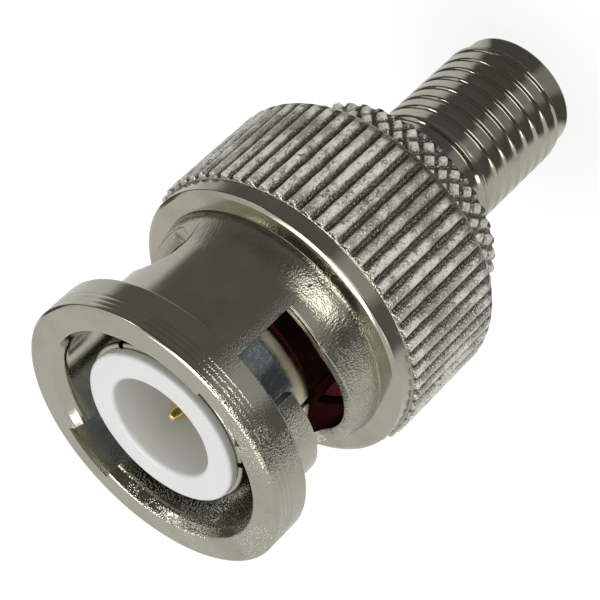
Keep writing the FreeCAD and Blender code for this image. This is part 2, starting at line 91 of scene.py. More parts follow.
class NutSettings(bpy.types.PropertyGroup):
    """Sizes of the coupling nut."""
    bore: length("Bore", 5.0 * MM, "Radius of the bore for the mating shell")
    sleeve: length("Sleeve", 5.5 * MM, "Outside radius of the bayonet sleeve")
    flare: length("Flare", 0.35 * MM, "How far the sleeve widens at its foot")
    flare_height: length("Flare Height", 1.8 * MM, "Height of the widening foot")
    fillet: length("Fillet", 0.08 * MM, "Fillet where the flare meets the grip")
    lip: length("Lip", 6.62 * MM, "Outside radius of the lip")
    lip_height: length("Lip Height", 1.9 * MM, "Height of the lip")
    notch: length("Notch Reach", 5.7 * MM, "Reach of the entry notches in the lip")
    entry_width: length("Entry Width", 2.5 * MM, "Width of the entry")
    entry_floor: length("Entry Floor", 5.75 * MM, "Depth of the entry floor below the mouth")
    entry_angle: FloatProperty(name="Entry Angle", description="Direction of the entry",
                               default=math.radians(-104.2), unit="ROTATION")
    slot_width: length("Slot Width", 2.3 * MM, "Height of the sloping slot")
    slot_rise: length("Slot Rise", 1.3 * MM, "Rise of the slot over a quarter turn")
    slot_step: length("Slot Step", 0.16 * MM, "Step from the entry floor to the slope")
    pocket: length("Pocket", 1.32 * MM, "Radius of the locking pocket")
    grip_depth: length("Grip Depth", 7.7 * MM, "Depth of the grip below the mouth")
    band: length("Band", 6.83 * MM, "Radius of the smooth band in front of the knurl")
    band_height: length("Band Height", 0.9 * MM, "Height of the smooth band")
    knurl_root: length("Knurl Root", 6.88 * MM, "Radius at the root of the knurl")
    knurl_depth: length("Knurl Depth", 0.24 * MM, "Depth of the knurl")
    knurl_teeth: IntProperty(name="Knurl Teeth", description="Number of knurl teeth", default=60, min=12)
    counterbore: length("Counterbore", 5.44 * MM, "Radius of the room for the flange")
    edge: length("Edge Rounding", 0.07 * MM, "Rounding of the edges of the slots")
    grain: length("Casting Grain", 0.012 * MM, "Depth of the casting's grain")


class BodySettings(bpy.types.PropertyGroup):
    """Sizes of the body with its threaded jack."""
    thread: length("Thread", 3.175 * MM, "Outside radius of the thread")
    pitch: length("Pitch", 0.775 * MM, "Distance from turn to turn")
    thread_depth: length("Thread Depth", 0.13 * MM, "Depth of the thread")
    land: length("Land", 2.95 * MM, "Radius of the smooth land at the open end")
    land_height: length("Land Height", 0.9 * MM, "Height of the smooth land")
    thread_end: length("Thread End", 6.8 * MM, "Height at which the thread ends")
    barrel: length("Barrel", 3.0 * MM, "Radius of the plain barrel")
    mouth: length("Mouth", 2.32 * MM, "Radius of the jack's mouth")
    jack_depth: length("Jack Depth", 1.9 * MM, "Depth of the mating plane")
    core: length("Core", 2.06 * MM, "Radius of the insulator in the jack")
    collar: length("Collar", 5.6 * MM, "Radius of the collar")
    collar_low: length("Collar Foot", 9.1 * MM, "Height of the collar's foot")
    collar_high: length("Collar Top", 11.05 * MM, "Height of the collar's top")
    points: IntProperty(name="Points", description="Diamond points round the collar", default=40, min=12)
    point_lean: FloatProperty(name="Point Lean", description="Lean of the diamond knurl's grooves",
                              default=math.radians(42.0), unit="ROTATION")
    point_depth: length("Point Depth", 0.26 * MM, "Depth of the diamond knurl")
    neck: length("Neck", 4.1 * MM, "Radius of the neck")
    flange: length("Flange", 5.36 * MM, "Radius of the flange")
    flange_under: length("Flange Underside", 14.55 * MM, "Height of the flange's underside")


class InnerSettings(bpy.types.PropertyGroup):
    """Sizes of the parts inside the mouth."""
    tip: length("Tip", 4.0 * MM, "Radius of the outer contact at its tip")
    waist: length("Waist", 3.7 * MM, "Radius of the outer contact behind its tip")
    root: length("Root", 3.45 * MM, "Radius of the outer contact's root")
    wall: length("Wall", 0.42 * MM, "Wall of the outer contact")
    tip_length: length("Tip Length", 4.4 * MM, "Length of the wide tip")
    slit_width: length("Slit Width", 0.32 * MM, "Width of the slits")
    slit_length: length("Slit Length", 7.2 * MM, "Length of the slits")
    slit_angle: FloatProperty(name="Slit Angle", description="Direction of the first slit",
                              default=math.radians(-87.0), unit="ROTATION")
    slits: IntProperty(name="Slits", description="Number of slits", default=6, min=1)
    bore: length("Insulator Bore", 2.5 * MM, "Radius of the insulator's bore")
    bore_depth: length("Bore Depth", 8.0 * MM, "Depth of the insulator's bore")
    rim: length("Insulator Rim", 3.8 * MM, "Radius of the insulator's rim in front of the contact")
    rounding: length("Insulator Rounding", 0.4 * MM, "Rounding of the insulator's rim")
    pin: length("Pin", 0.675 * MM, "Radius of the pin")
    pin_taper: length("Pin Taper", 1.0 * MM, "Length of the pin's pointed end")
    pin_reach: length("Pin Reach", 0.25 * MM, "How far the drawn point reaches past the solid one")
    pin_shoulder: length("Pin Shoulder", 1.15 * MM, "Radius of the pin's shoulder")


class FinishSettings(bpy.types.PropertyGroup):
    """Colours and roughness of the finishes."""
    nickel: colour("Nickel", (0.47, 0.455, 0.37), "Warm nickel plating")
    nickel_dull: colour("Dull Nickel", (0.36, 0.345, 0.27), "Nickel where it is thin or stained")
    # Near-white colour of the knurl crests: a frosty finish that is also a painted highlight.
    frost_and_highlight: colour("Frost", (0.93, 0.92, 0.83), "Frosty nickel on the crests of the knurls")
    # Dark colour of the knurl grooves: painted shade in the recesses.
    groove: colour("Groove", (0.10, 0.10, 0.085), "Dulled plating in the grooves of the knurls")
    painted_reflection: colour("Film", (0.13, 0.17, 0.21), "Dark bluish film on the outer contact")
    # Painted reflection: dark bluish colour laid on the side of the contact's tip.
    painted_highlight: colour("Rubbed", (0.85, 0.76, 0.55), "Plating rubbed pale at the back of the contact's tip")
    # Painted highlight: pale colour laid at the back of the contact's tip.
    white: colour("White", (0.83, 0.84, 0.83), "White fluoropolymer")
    gold: colour("Gold", (0.83, 0.62, 0.22), "Gold plating")
    red: colour("Red", (0.38, 0.07, 0.065), "Dark red silicone")
    steel: colour("Steel", (0.45, 0.45, 0.43), "Spring steel")
    nickel_gloss: share("Nickel Roughness", 0.14, "Roughness of the turned nickel")
    cast_gloss: share("Cast Roughness", 0.17, "Roughness of the plated casting")


class StudioSettings(bpy.types.PropertyGroup):
    """Camera, floor and lights."""
    lens: FloatProperty(name="Lens", description="Focal length", default=142.41, unit="CAMERA")
    floor: colour("Floor", (0.9, 0.9, 0.9), "Pale floor")
    key: FloatProperty(name="Left Lamp", description="Power of the left lamp", default=0.012, unit="POWER")
    fill: FloatProperty(name="Right Lamp", description="Power of the right lamp", default=0.011, unit="POWER")
    top: FloatProperty(name="Top Lamp", description="Power of the top lamp", default=0.13, unit="POWER")
    front: FloatProperty(name="Front Lamp", description="Power of the front lamp", default=0.25, unit="POWER")
    daylight: FloatProperty(name="Surround", description="Strength of the even light from all round",
                            default=0.34, min=0.0)


GROUPS = {
    "adapter_nut": NutSettings,
    "adapter_body": BodySettings,
    "adapter_inner": InnerSettings,
    "adapter_finish": FinishSettings,
    "adapter_studio": StudioSettings,
}


def smooth(x):
    """Smooth step: 3x^2 - 2x^3 for x held between 0 and 1."""
    x = np.clip(x, 0.0, 1.0)
    return x * x * (3.0 - 2.0 * x)


def grain(points, size, seed):
    """Even random relief from -1 to 1: random values on a cubic lattice of that size, blended smoothly."""
    table = np.random.default_rng(seed).uniform(-1.0, 1.0, (64, 64, 64))
    place = points / size
    low = np.floor(place).astype(int)
    part = smooth(place - low)
    total = np.zeros(points.shape[:-1])
    for corner in np.ndindex(2, 2, 2):
        weight = np.ones(points.shape[:-1])
        for axis, step in enumerate(corner):
            weight = weight * (part[..., axis] if step else 1.0 - part[..., axis])
        spot = (low + np.array(corner)) % 64
        total += weight * table[spot[..., 0], spot[..., 1], spot[..., 2]]
    return total


def rounded(corners, step=None, arc=6):
    """Closed outline through (radius, height, rounding) corners: each corner is a quarter-like arc tangent
    to both sides, and long sides are divided into pieces of at most step."""
    spots = np.array([corner[:2] for corner in corners], float)
    rounding = np.array([corner[2] for corner in corners], float)
    rows = []
    for here, spot in enumerate(spots):
        back, ahead = spots[here - 1] - spot, spots[(here + 1) % len(spots)] - spot
        cut = min(rounding[here], np.linalg.norm(back) * 0.45, np.linalg.norm(ahead) * 0.45)
        if cut <= 0.0:
            rows.append(spot[None])
            continue
        start = spot + back / np.linalg.norm(back) * cut
        end = spot + ahead / np.linalg.norm(ahead) * cut
        share_of = np.linspace(0.0, 1.0, arc)[:, None]
        rows.append((1 - share_of) ** 2 * start + 2 * share_of * (1 - share_of) * spot + share_of ** 2 * end)
    path = np.concatenate(rows)
    if step is None:
        return path
    dense = []
    for start, end in zip(path, np.roll(path, -1, axis=0)):
        pieces = max(1, int(math.ceil(np.linalg.norm(end - start) / step)))
        dense.append(start + (end - start) * (np.arange(pieces) / pieces)[:, None])
    return np.concatenate(dense)


def turned(radius, angle, height):
    """Points of a turned surface: (radius cos angle, radius sin angle, height)."""
    radius, angle, height = np.broadcast_arrays(radius, angle, height)
    return np.stack([radius * np.cos(angle), radius * np.sin(angle), height], axis=-1)


def lathe(path, columns):
    """An outline of (radius, height) rows turned about the axis, as a grid of columns by rows."""
    angle = np.linspace(0.0, 2.0 * math.pi, columns, endpoint=False)[:, None]
    return turned(path[None, :, 0], angle, path[None, :, 1])


def ring_faces(columns, rows):
    """Quads of a grid that closes on itself both ways."""
    column, row = np.meshgrid(np.arange(columns), np.arange(rows), indexing="ij")
    ahead, above = (column + 1) % columns, (row + 1) % rows
    return np.stack([column * rows + row, ahead * rows + row, ahead * rows + above, column * rows + above],
                    axis=-1).reshape(-1, 4)


def shell_mesh(outer, inner, keep):
    """A wall between two grids of columns by rows that close round the axis. Cells where keep is false are
    open, and a rim joins the two skins along every open edge."""
    columns, rows = outer.shape[:2]
    points = np.concatenate([outer.reshape(-1, 3), inner.reshape(-1, 3)])
    index = np.arange(columns * rows).reshape(columns, rows)
    other = index + columns * rows
    ahead = np.roll(index, -1, axis=0)
    other_ahead = np.roll(other, -1, axis=0)
    a, b, c, d = index[:, :-1], ahead[:, :-1], ahead[:, 1:], index[:, 1:]
    e, f, g, h = other[:, :-1], other_ahead[:, :-1], other_ahead[:, 1:], other[:, 1:]
    none = np.zeros((columns, 1), bool)
    below = keep & ~np.concatenate([none, keep[:, :-1]], axis=1)
    above = keep & ~np.concatenate([keep[:, 1:], none], axis=1)
    before = keep & ~np.roll(keep, 1, axis=0)
    after = keep & ~np.roll(keep, -1, axis=0)
    faces = [
        np.stack([a, b, c, d], -1)[keep], np.stack([e, h, g, f], -1)[keep],
        np.stack([a, e, f, b], -1)[below], np.stack([d, c, g, h], -1)[above],
        np.stack([a, d, h, e], -1)[before], np.stack([b, f, g, c], -1)[after],
    ]
    return points, np.concatenate(faces)


def signed_volume(points, quads):
    """Volume inside a closed set of quads, negative where they face inwards."""
    p = points[quads]
    first = np.einsum("ij,ij->i", p[:, 0], np.cross(p[:, 1], p[:, 2]))
    second = np.einsum("ij,ij->i", p[:, 0], np.cross(p[:, 2], p[:, 3]))
    return (first + second).sum() / 6.0


def make_piece(name, points, quads, body, material, replaces=(), sharp=50.0):
    """Put points and quads into a smooth mesh that faces outwards, and let it ride on its body."""
    if signed_volume(points, quads) < 0.0:
        quads = quads[:, ::-1]
    mesh = bpy.data.meshes.new(name)
    mesh.from_pydata(points, [], quads)
    piece = bpy.data.objects.new(name, mesh)
    bpy.context.scene.collection.objects.link(piece)
    mesh.validate()
    weld(mesh)
    mesh.polygons.foreach_set("use_smooth", np.ones(len(mesh.polygons), bool))
    mesh.set_sharp_from_angle(angle=math.radians(sharp))
    mesh.materials.append(material)
    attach(piece, body)
    if replaces:
        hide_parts(*replaces)
    return piece


def weld(mesh):
    """Join points that lie on each other, such as those of a pole, and drop faces without area."""
    work = bmesh.new()
    work.from_mesh(mesh)
    bmesh.ops.remove_doubles(work, verts=work.verts, dist=1e-7)
    bmesh.ops.dissolve_degenerate(work, edges=work.edges, dist=1e-8)
    loose = [vert for vert in work.verts if not vert.link_faces]
    bmesh.ops.delete(work, geom=loose, context="VERTS")
    work.to_mesh(mesh)
    work.free()


def ring_piece(name, grid, body, material, replaces=(), sharp=50.0):
    """A piece from one grid that closes on itself both ways."""
    columns, rows = grid.shape[:2]
    return make_piece(name, grid.reshape(-1, 3), ring_faces(columns, rows), body, material,
                      replaces, sharp)


def add_node(tree, kind, **settings):
    """Add a shader node and set its own attributes."""
    made = tree.nodes.new(kind)
    for key, value in settings.items():
        setattr(made, key, value)
    return made


def value_in(made, **values):
    """Set inputs of a node, with underscores for the spaces in their names."""
    for key, value in values.items():
        made.inputs[key.replace("_", " ")].default_value = value
    return made


def group_tree(name, inputs, outputs):
    """Start a shader node group with float and colour sockets."""
    tree = bpy.data.node_groups.new(name, "ShaderNodeTree")
    for label, kind, default in inputs:
        socket = tree.interface.new_socket(label, in_out="INPUT", socket_type=kind)
        socket.default_value = default
    for label, kind in outputs:
        tree.interface.new_socket(label, in_out="OUTPUT", socket_type=kind)
    return tree, tree.nodes.new("NodeGroupInput"), tree.nodes.new("NodeGroupOutput")


def stretch(tree, source, low, high, to_low, to_high):
    """Map a value smoothly from one range to another."""
    made = add_node(tree, "ShaderNodeMapRange", interpolation_type="SMOOTHSTEP")
    tree.links.new(source, made.inputs["Value"])
    for key, value in (("From Min", low), ("From Max", high), ("To Min", to_low), ("To Max", to_high)):
        if isinstance(value, bpy.types.NodeSocket):
            tree.links.new(value, made.inputs[key])
        else:
            made.inputs[key].default_value = value
    return made.outputs["Result"]


def noise_of(tree, coordinates, scale, detail=3.0, roughness=0.55):
    """Noise over the object's own coordinates."""
    made = value_in(add_node(tree, "ShaderNodeTexNoise"), Detail=detail, Roughness=roughness)
    tree.links.new(coordinates, made.inputs["Vector"])
    if isinstance(scale, bpy.types.NodeSocket):
        tree.links.new(scale, made.inputs["Scale"])
    else:
        made.inputs["Scale"].default_value = scale
    return made.outputs["Fac"]


def mathed(tree, operation, first, second=None, clamp=False):
    """One step of arithmetic between sockets or numbers."""
    made = add_node(tree, "ShaderNodeMath", operation=operation, use_clamp=clamp)
    for slot_number, value in enumerate((first, second)):
        if isinstance(value, bpy.types.NodeSocket):
            tree.links.new(value, made.inputs[slot_number])
        elif value is not None:
            made.inputs[slot_number].default_value = value
    return made.outputs["Value"]


def times(tree, first, second):
    """Product of two sockets or numbers."""
    return mathed(tree, "MULTIPLY", first, second)


def plus(tree, first, second):
    """Sum of two sockets or numbers."""
    return mathed(tree, "ADD", first, second)


def blend(tree, factor, first, second):
    """Mix two colours, each a socket or red, green and blue, by a factor."""
    made = add_node(tree, "ShaderNodeMix", data_type="RGBA")
    tree.links.new(factor, made.inputs["Factor"])
    for key, value in (("A", first), ("B", second)):
        if isinstance(value, bpy.types.NodeSocket):
            tree.links.new(value, made.inputs[key])
        else:
            made.inputs[key].default_value = (*value, 1.0)
    return made.outputs["Result"]


def own_place(tree):
    """The object's own coordinates, whole and split into X, Y and Z."""
    place = tree.nodes.new("ShaderNodeTexCoord").outputs["Object"]
    split = tree.nodes.new("ShaderNodeSeparateXYZ")
    tree.links.new(place, split.inputs["Vector"])
    return place, split.outputs


def pits_of(tree, place, scale):
    """Pits: the distance from scattered points, smoothly stretched."""
    made = value_in(add_node(tree, "ShaderNodeTexVoronoi", feature="F1"), Scale=scale, Randomness=1.0)
    tree.links.new(place, made.inputs["Vector"])
    return stretch(tree, made.outputs["Distance"], 0.1, 0.7, 0.0, 1.0)


def raise_relief(tree, shader, height, strength, distance):
    """Let a height stand out on a shader's surface as bump."""
    relief = value_in(add_node(tree, "ShaderNodeBump"), Strength=strength, Distance=distance)
    tree.links.new(height, relief.inputs["Height"])
    tree.links.new(relief.outputs["Normal"], shader.inputs["Normal"])
    return relief


def wear_group():
    """Plating that is never quite even: clouds of duller metal, tiny specks and changing gloss."""
    found = bpy.data.node_groups.get("plating_wear")
    if found:
        return found
    tree, inputs, outputs = group_tree("plating_wear", [
        ("Bright", "NodeSocketColor", (0.6, 0.6, 0.5, 1.0)),
        ("Dull", "NodeSocketColor", (0.4, 0.4, 0.3, 1.0)),
        ("Cloud Scale", "NodeSocketFloat", 500.0),
        ("Grain Scale", "NodeSocketFloat", 9000.0),
        ("Speck Amount", "NodeSocketFloat", 0.3),
        ("Rough Low", "NodeSocketFloat", 0.1),
        ("Rough High", "NodeSocketFloat", 0.2),
    ], [("Color", "NodeSocketColor"), ("Roughness", "NodeSocketFloat"), ("Height", "NodeSocketFloat")])
    place = tree.nodes.new("ShaderNodeTexCoord").outputs["Object"]
    cloud = noise_of(tree, place, inputs.outputs["Cloud Scale"], 4.0, 0.6)
    fine = noise_of(tree, place, inputs.outputs["Grain Scale"], 2.0, 0.5)
    speck = stretch(tree, fine, 0.62, 0.74, 0.0, 1.0)
    speck = mathed(tree, "MULTIPLY", speck, inputs.outputs["Speck Amount"])
    dull = stretch(tree, cloud, 0.42, 0.72, 0.0, 0.7)
    dull = mathed(tree, "ADD", dull, speck, clamp=True)
    mixed = blend(tree, dull, inputs.outputs["Bright"], inputs.outputs["Dull"])
    gloss = stretch(tree, dull, 0.0, 1.0, inputs.outputs["Rough Low"], inputs.outputs["Rough High"])
    tree.links.new(mixed, outputs.inputs["Color"])
    tree.links.new(gloss, outputs.inputs["Roughness"])
    tree.links.new(fine, outputs.inputs["Height"])
    return tree


def start_material(name):
    """A material with its principled shader."""
    made = bpy.data.materials.new(name)
    made.use_nodes = True
    return made, made.node_tree, made.node_tree.nodes["Principled BSDF"]


def put_wear(tree, shader, bright, dull, cloud, fine, specks, rough, bump, distance):
    """Wire the plating group into a shader, with its relief as bump."""
    worn = add_node(tree, "ShaderNodeGroup", node_tree=wear_group())
    value_in(worn, Bright=(*bright, 1.0), Dull=(*dull, 1.0), Cloud_Scale=cloud, Grain_Scale=fine,
             Speck_Amount=specks, Rough_Low=rough[0], Rough_High=rough[1])
    tree.links.new(worn.outputs["Color"], shader.inputs["Base Color"])
    tree.links.new(worn.outputs["Roughness"], shader.inputs["Roughness"])
    return worn, raise_relief(tree, shader, worn.outputs["Height"], bump, distance)


def turned_nickel():
    """Bright nickel over turned brass: very fine tool rings round the axis."""
    found = bpy.data.materials.get("turned_nickel")
    if found:
        return found
    finish = bpy.context.scene.adapter_finish
    made, tree, shader = start_material("turned_nickel")
    shader.inputs["Metallic"].default_value = 1.0
    worn, relief = put_wear(tree, shader, finish.nickel, finish.nickel_dull, 420.0, 7000.0, 0.25,
                            (finish.nickel_gloss - 0.04, finish.nickel_gloss + 0.1), 0.12, 0.01 * MM)
    split = own_place(tree)[1]
    ring_pitch = 0.09 * MM
    turns = times(tree, split["Z"], 2.0 * math.pi / ring_pitch)
    wave = mathed(tree, "SINE", turns)
    wave = times(tree, wave, 0.25)
    total = plus(tree, wave, worn.outputs["Height"])
    tree.links.new(total, relief.inputs["Height"])
    return made


def cast_nickel():
    """Nickel over a casting: nearly smooth on the lip, with streaky grain towards the foot of the flare."""
    found = bpy.data.materials.get("cast_nickel")
    if found:
        return found
    finish = bpy.context.scene.adapter_finish
    nut = bpy.context.scene.adapter_nut
    made, tree, shader = start_material("cast_nickel")
    shader.inputs["Metallic"].default_value = 1.0
    worn, relief = put_wear(tree, shader, finish.nickel, finish.nickel_dull, 350.0, 5200.0, 0.35,
                            (finish.cast_gloss - 0.05, finish.cast_gloss + 0.12), 0.7, 0.03 * MM)
    place, split = own_place(tree)
    foot = MOUTH - nut.grip_depth
    on_flare = stretch(tree, split["Z"], foot + 2.9 * MM, foot + 1.1 * MM, 0.05, 0.7)
    long_way = add_node(tree, "ShaderNodeMapping", vector_type="POINT")
    long_way.inputs["Scale"].default_value = (1.0, 1.0, 0.4)
    tree.links.new(place, long_way.inputs["Vector"])
    streaks = noise_of(tree, long_way.outputs["Vector"], 9000.0, 3.0, 0.6)
    side = stretch(tree, split["X"], 2.0 * MM, -2.5 * MM, 0.0, 1.0)
    patch = stretch(tree, noise_of(tree, place, 420.0, 2.0, 0.5), 0.36, 0.6, 0.15, 1.0)
    pitted = times(tree, pits_of(tree, place, 11000.0), patch)
    pitted = times(tree, pitted, times(tree, side, 0.8))
    height = plus(tree, times(tree, streaks, on_flare), pitted)
    tree.links.new(height, relief.inputs["Height"])
    return made


def tool_rings(tree, height, scale):
    """Uneven rings round the axis: noise that changes with the height only."""
    line = tree.nodes.new("ShaderNodeCombineXYZ")
    tree.links.new(height, line.inputs["Z"])
    return noise_of(tree, line.outputs["Vector"], scale, 2.0, 0.6)


def knurled_nickel(name, root, crest, top, foot, even):
    """Nickel over a knurl: pitted crests painted near-white in uneven patches, a frosty finish that is also a
    painted highlight, grooves darkened by painted shade, and plain above the knurl's top and near its foot. The
    crests are found by the distance from the axis."""
    found = bpy.data.materials.get(name)
    if found:
        return found
    finish = bpy.context.scene.adapter_finish
    made, tree, shader = start_material(name)
    shader.inputs["Metallic"].default_value = 1.0
    worn, relief = put_wear(tree, shader, finish.nickel, finish.nickel_dull, 350.0, 5200.0, 0.3,
                            (finish.cast_gloss - 0.05, finish.cast_gloss + 0.12), 1.0, 0.035 * MM)
    place, split = own_place(tree)
    across = times(tree, split["X"], split["X"])
    along = times(tree, split["Y"], split["Y"])
    far = mathed(tree, "SQRT", plus(tree, across, along))
    on_knurl = stretch(tree, split["Z"], top + 0.08 * MM, top - 0.1 * MM, 0.0, 1.0)
    depth = crest - root
    on_crest = stretch(tree, far, root + depth * 0.2 * (1.0 - even), crest - depth * 0.25, 0.0, 1.0)
    crested = times(tree, on_crest, on_knurl)
    # Painted highlight: the near-white frost colour on the crests, in noisy patches, partly a frosty finish.
    sparkle = noise_of(tree, place, 7600.0, 2.0, 0.6)
    patches = noise_of(tree, place, 1300.0, 2.0, 0.5)
    frost_and_highlight = plus(tree, times(tree, sparkle, 1.2), times(tree, patches, 0.8))
    frost_and_highlight = stretch(tree, frost_and_highlight, 0.85 - 0.3 * even, 1.15 - 0.2 * even, 0.2, 1.0)
    frost_and_highlight = times(tree, frost_and_highlight, crested)
    patchy_frost = stretch(tree, noise_of(tree, place, 430.0, 2.0, 0.6), 0.4, 0.56, even, 1.0)
    frost_and_highlight = times(tree, frost_and_highlight, patchy_frost)
    uneven = plus(tree, split["Z"], times(tree, patches, 0.7 * MM))
    frost_and_highlight = times(tree, frost_and_highlight, stretch(tree, uneven, foot + 0.85 * MM, foot + 1.35 * MM, 0.0, 1.0))
    # Painted shade: the knurl's grooves are darkened towards the groove colour.
    grooves = mathed(tree, "SUBTRACT", on_knurl, crested)
    dark = blend(tree, times(tree, grooves, 0.55), worn.outputs["Color"], finish.groove)
    tree.links.new(blend(tree, frost_and_highlight, dark, finish.frost_and_highlight), shader.inputs["Base Color"])
    # Metallic drops where the frost and painted highlight lie, so the crests show the near-white colour.
    tree.links.new(mathed(tree, "SUBTRACT", 1.0, times(tree, frost_and_highlight, 0.88)), shader.inputs["Metallic"])
    pitted = pits_of(tree, place, 8200.0)
    flat = mathed(tree, "SUBTRACT", 1.0, on_knurl)
    rings = times(tree, times(tree, tool_rings(tree, split["Z"], 9000.0), flat), 0.3)
    height = plus(tree, times(tree, pitted, on_knurl), rings)
    tree.links.new(height, relief.inputs["Height"])
    total = plus(tree, worn.outputs["Roughness"], times(tree, crested, 0.18))
    tree.links.new(total, shader.inputs["Roughness"])
    return made


def contact_nickel_painted_light():
    """Nickel of the outer contact: a painted dark bluish reflection on its tip's side, broken up by noise, and
    a painted pale highlight at the tip's back.
    """
    found = bpy.data.materials.get("contact_nickel_painted_light")
    if found:
        return found
    finish = bpy.context.scene.adapter_finish
    inner = bpy.context.scene.adapter_inner
    made, tree, shader = start_material("contact_nickel_painted_light")
    shader.inputs["Metallic"].default_value = 1.0
    worn, relief = put_wear(tree, shader, finish.nickel, finish.nickel_dull, 500.0, 6500.0, 0.3,
                            (finish.nickel_gloss, finish.nickel_gloss + 0.12), 0.4, 0.02 * MM)
    place, split = own_place(tree)
    back = CONTACT_HIGH.z - inner.tip_length
    over = stretch(tree, split["Z"], back + 0.55 * MM, back + 0.8 * MM, 0.0, 1.0)
    under = stretch(tree, split["Z"], CONTACT_HIGH.z - 0.1 * MM, CONTACT_HIGH.z - 0.7 * MM, 0.0, 1.0)
    # Painted reflection: dark bluish colour over the tip's side, broken up by noise.
    painted_reflection = times(tree, over, under)
    reflection_breakup = noise_of(tree, place, 5200.0, 3.0, 0.7)
    reflection_breakup = stretch(tree, reflection_breakup, 0.5, 0.68, 0.85, 0.25)
    painted_reflection = times(tree, painted_reflection, reflection_breakup)
    with_painted_reflection = blend(tree, painted_reflection, worn.outputs["Color"], finish.painted_reflection)
    # Painted highlight: a pale band at the back of the tip, which is also made a little rougher.
    highlight_band = stretch(tree, split["Z"], back + 0.1 * MM, back + 0.35 * MM, 0.0, 1.0)
    highlight_band_end = stretch(tree, split["Z"], back + 0.8 * MM, back + 0.5 * MM, 0.0, 1.0)
    highlight_band = times(tree, highlight_band, highlight_band_end)
    tree.links.new(blend(tree, highlight_band, with_painted_reflection, finish.painted_highlight), shader.inputs["Base Color"])
    rough = times(tree, highlight_band, 0.25)
    rough = plus(tree, rough, worn.outputs["Roughness"])
    tree.links.new(rough, shader.inputs["Roughness"])
    return made


def white_plastic():
    """Waxy white fluoropolymer that light enters a little."""
    found = bpy.data.materials.get("white_plastic")
    if found:
        return found
    finish = bpy.context.scene.adapter_finish
    made, tree, shader = start_material("white_plastic")
    shader.inputs["Subsurface Weight"].default_value = 0.35
    shader.inputs["Subsurface Radius"].default_value = (1.0, 0.95, 0.85)
    shader.inputs["Subsurface Scale"].default_value = 0.5 * MM
    place = tree.nodes.new("ShaderNodeTexCoord").outputs["Object"]
    cloud = noise_of(tree, place, 260.0, 3.0)
    mixed = blend(tree, stretch(tree, cloud, 0.35, 0.7, 0.0, 0.35), finish.white, (0.78, 0.77, 0.72))
    tree.links.new(mixed, shader.inputs["Base Color"])
    tree.links.new(stretch(tree, cloud, 0.3, 0.7, 0.3, 0.45), shader.inputs["Roughness"])
    raise_relief(tree, shader, noise_of(tree, place, 3500.0), 0.12, 0.02 * MM)
    return made


def plated_gold():
    """Thin gold plating on the pin and the socket."""
    found = bpy.data.materials.get("plated_gold")
    if found:
        return found
    finish = bpy.context.scene.adapter_finish
    made, tree, shader = start_material("plated_gold")
    shader.inputs["Metallic"].default_value = 1.0
    dull = tuple(c * 0.75 for c in finish.gold)
    put_wear(tree, shader, finish.gold, dull, 900.0, 9000.0, 0.2, (0.12, 0.28), 0.1, 0.01 * MM)
    return made


def red_silicone():
    """Satin dark red silicone of the gasket."""
    found = bpy.data.materials.get("red_silicone")
    if found:
        return found
    finish = bpy.context.scene.adapter_finish
    made, tree, shader = start_material("red_silicone")
    place = tree.nodes.new("ShaderNodeTexCoord").outputs["Object"]
    cloud = noise_of(tree, place, 700.0, 3.0)
    dull = tuple(c * 0.6 for c in finish.red)
    mixed = blend(tree, stretch(tree, cloud, 0.35, 0.7, 0.0, 1.0), finish.red, dull)
    tree.links.new(mixed, shader.inputs["Base Color"])
    tree.links.new(stretch(tree, cloud, 0.3, 0.7, 0.22, 0.4), shader.inputs["Roughness"])
    value_in(shader, Coat_Weight=0.6, Coat_Roughness=0.3)
    raise_relief(tree, shader, noise_of(tree, place, 2600.0), 0.3, 0.02 * MM)
    return made


def spring_steel():
    """Satin spring steel of the washers and the retaining ring."""
    found = bpy.data.materials.get("spring_steel")
    if found:
        return found
    finish = bpy.context.scene.adapter_finish
    made, tree, shader = start_material("spring_steel")
    shader.inputs["Metallic"].default_value = 1.0
    dull = tuple(c * 0.7 for c in finish.steel)
    put_wear(tree, shader, finish.steel, dull, 600.0, 6000.0, 0.2, (0.25, 0.4), 0.2, 0.01 * MM)
    return made


def slot_edges(nut, turn):
    """Lower and upper edge of the bayonet slot at each turn from the locking pocket, and where it is open.
    The slope rises evenly over a quarter turn, the pocket is a circle tangent to the slope's low end,
    and the entry is open up to the lip."""
    turn = np.mod(turn, math.pi)
    quarter = math.pi / 2.0
    low_end = MOUTH - nut.entry_floor - nut.slot_rise + nut.slot_step
    lip_under = MOUTH - nut.lip_height
    wall = (nut.bore + nut.sleeve) / 2.0
    low = np.full(turn.shape, low_end + nut.slot_rise + nut.slot_width * 0.3)
    high = low + nut.slot_width * 0.4
    is_open = np.zeros(turn.shape, bool)
    run = turn <= quarter
    slope = low_end + nut.slot_rise * turn / quarter
    low = np.where(run, slope, low)
    high = np.where(run, slope + nut.slot_width, high)
    is_open |= run
    off = np.minimum(turn, math.pi - turn)
    inside = off < math.asin(nut.pocket / wall)
    half = np.sqrt(np.maximum(nut.pocket ** 2 - (wall * np.sin(off)) ** 2, 0.0))
    centre = low_end + nut.pocket
    low = np.where(inside, np.where(run, np.minimum(low, centre - half), centre - half), low)
    high = np.where(inside, np.where(run, np.maximum(high, centre + half), centre + half), high)
    is_open |= inside
    entry = np.abs(turn - quarter) < math.asin(nut.entry_width / 2.0 / wall)
    floor = MOUTH - nut.entry_floor
    low = np.where(entry, np.where(run, np.minimum(low, floor), floor), low)
    high = np.where(entry, lip_under, high)
    is_open |= entry
    return low, high, is_open


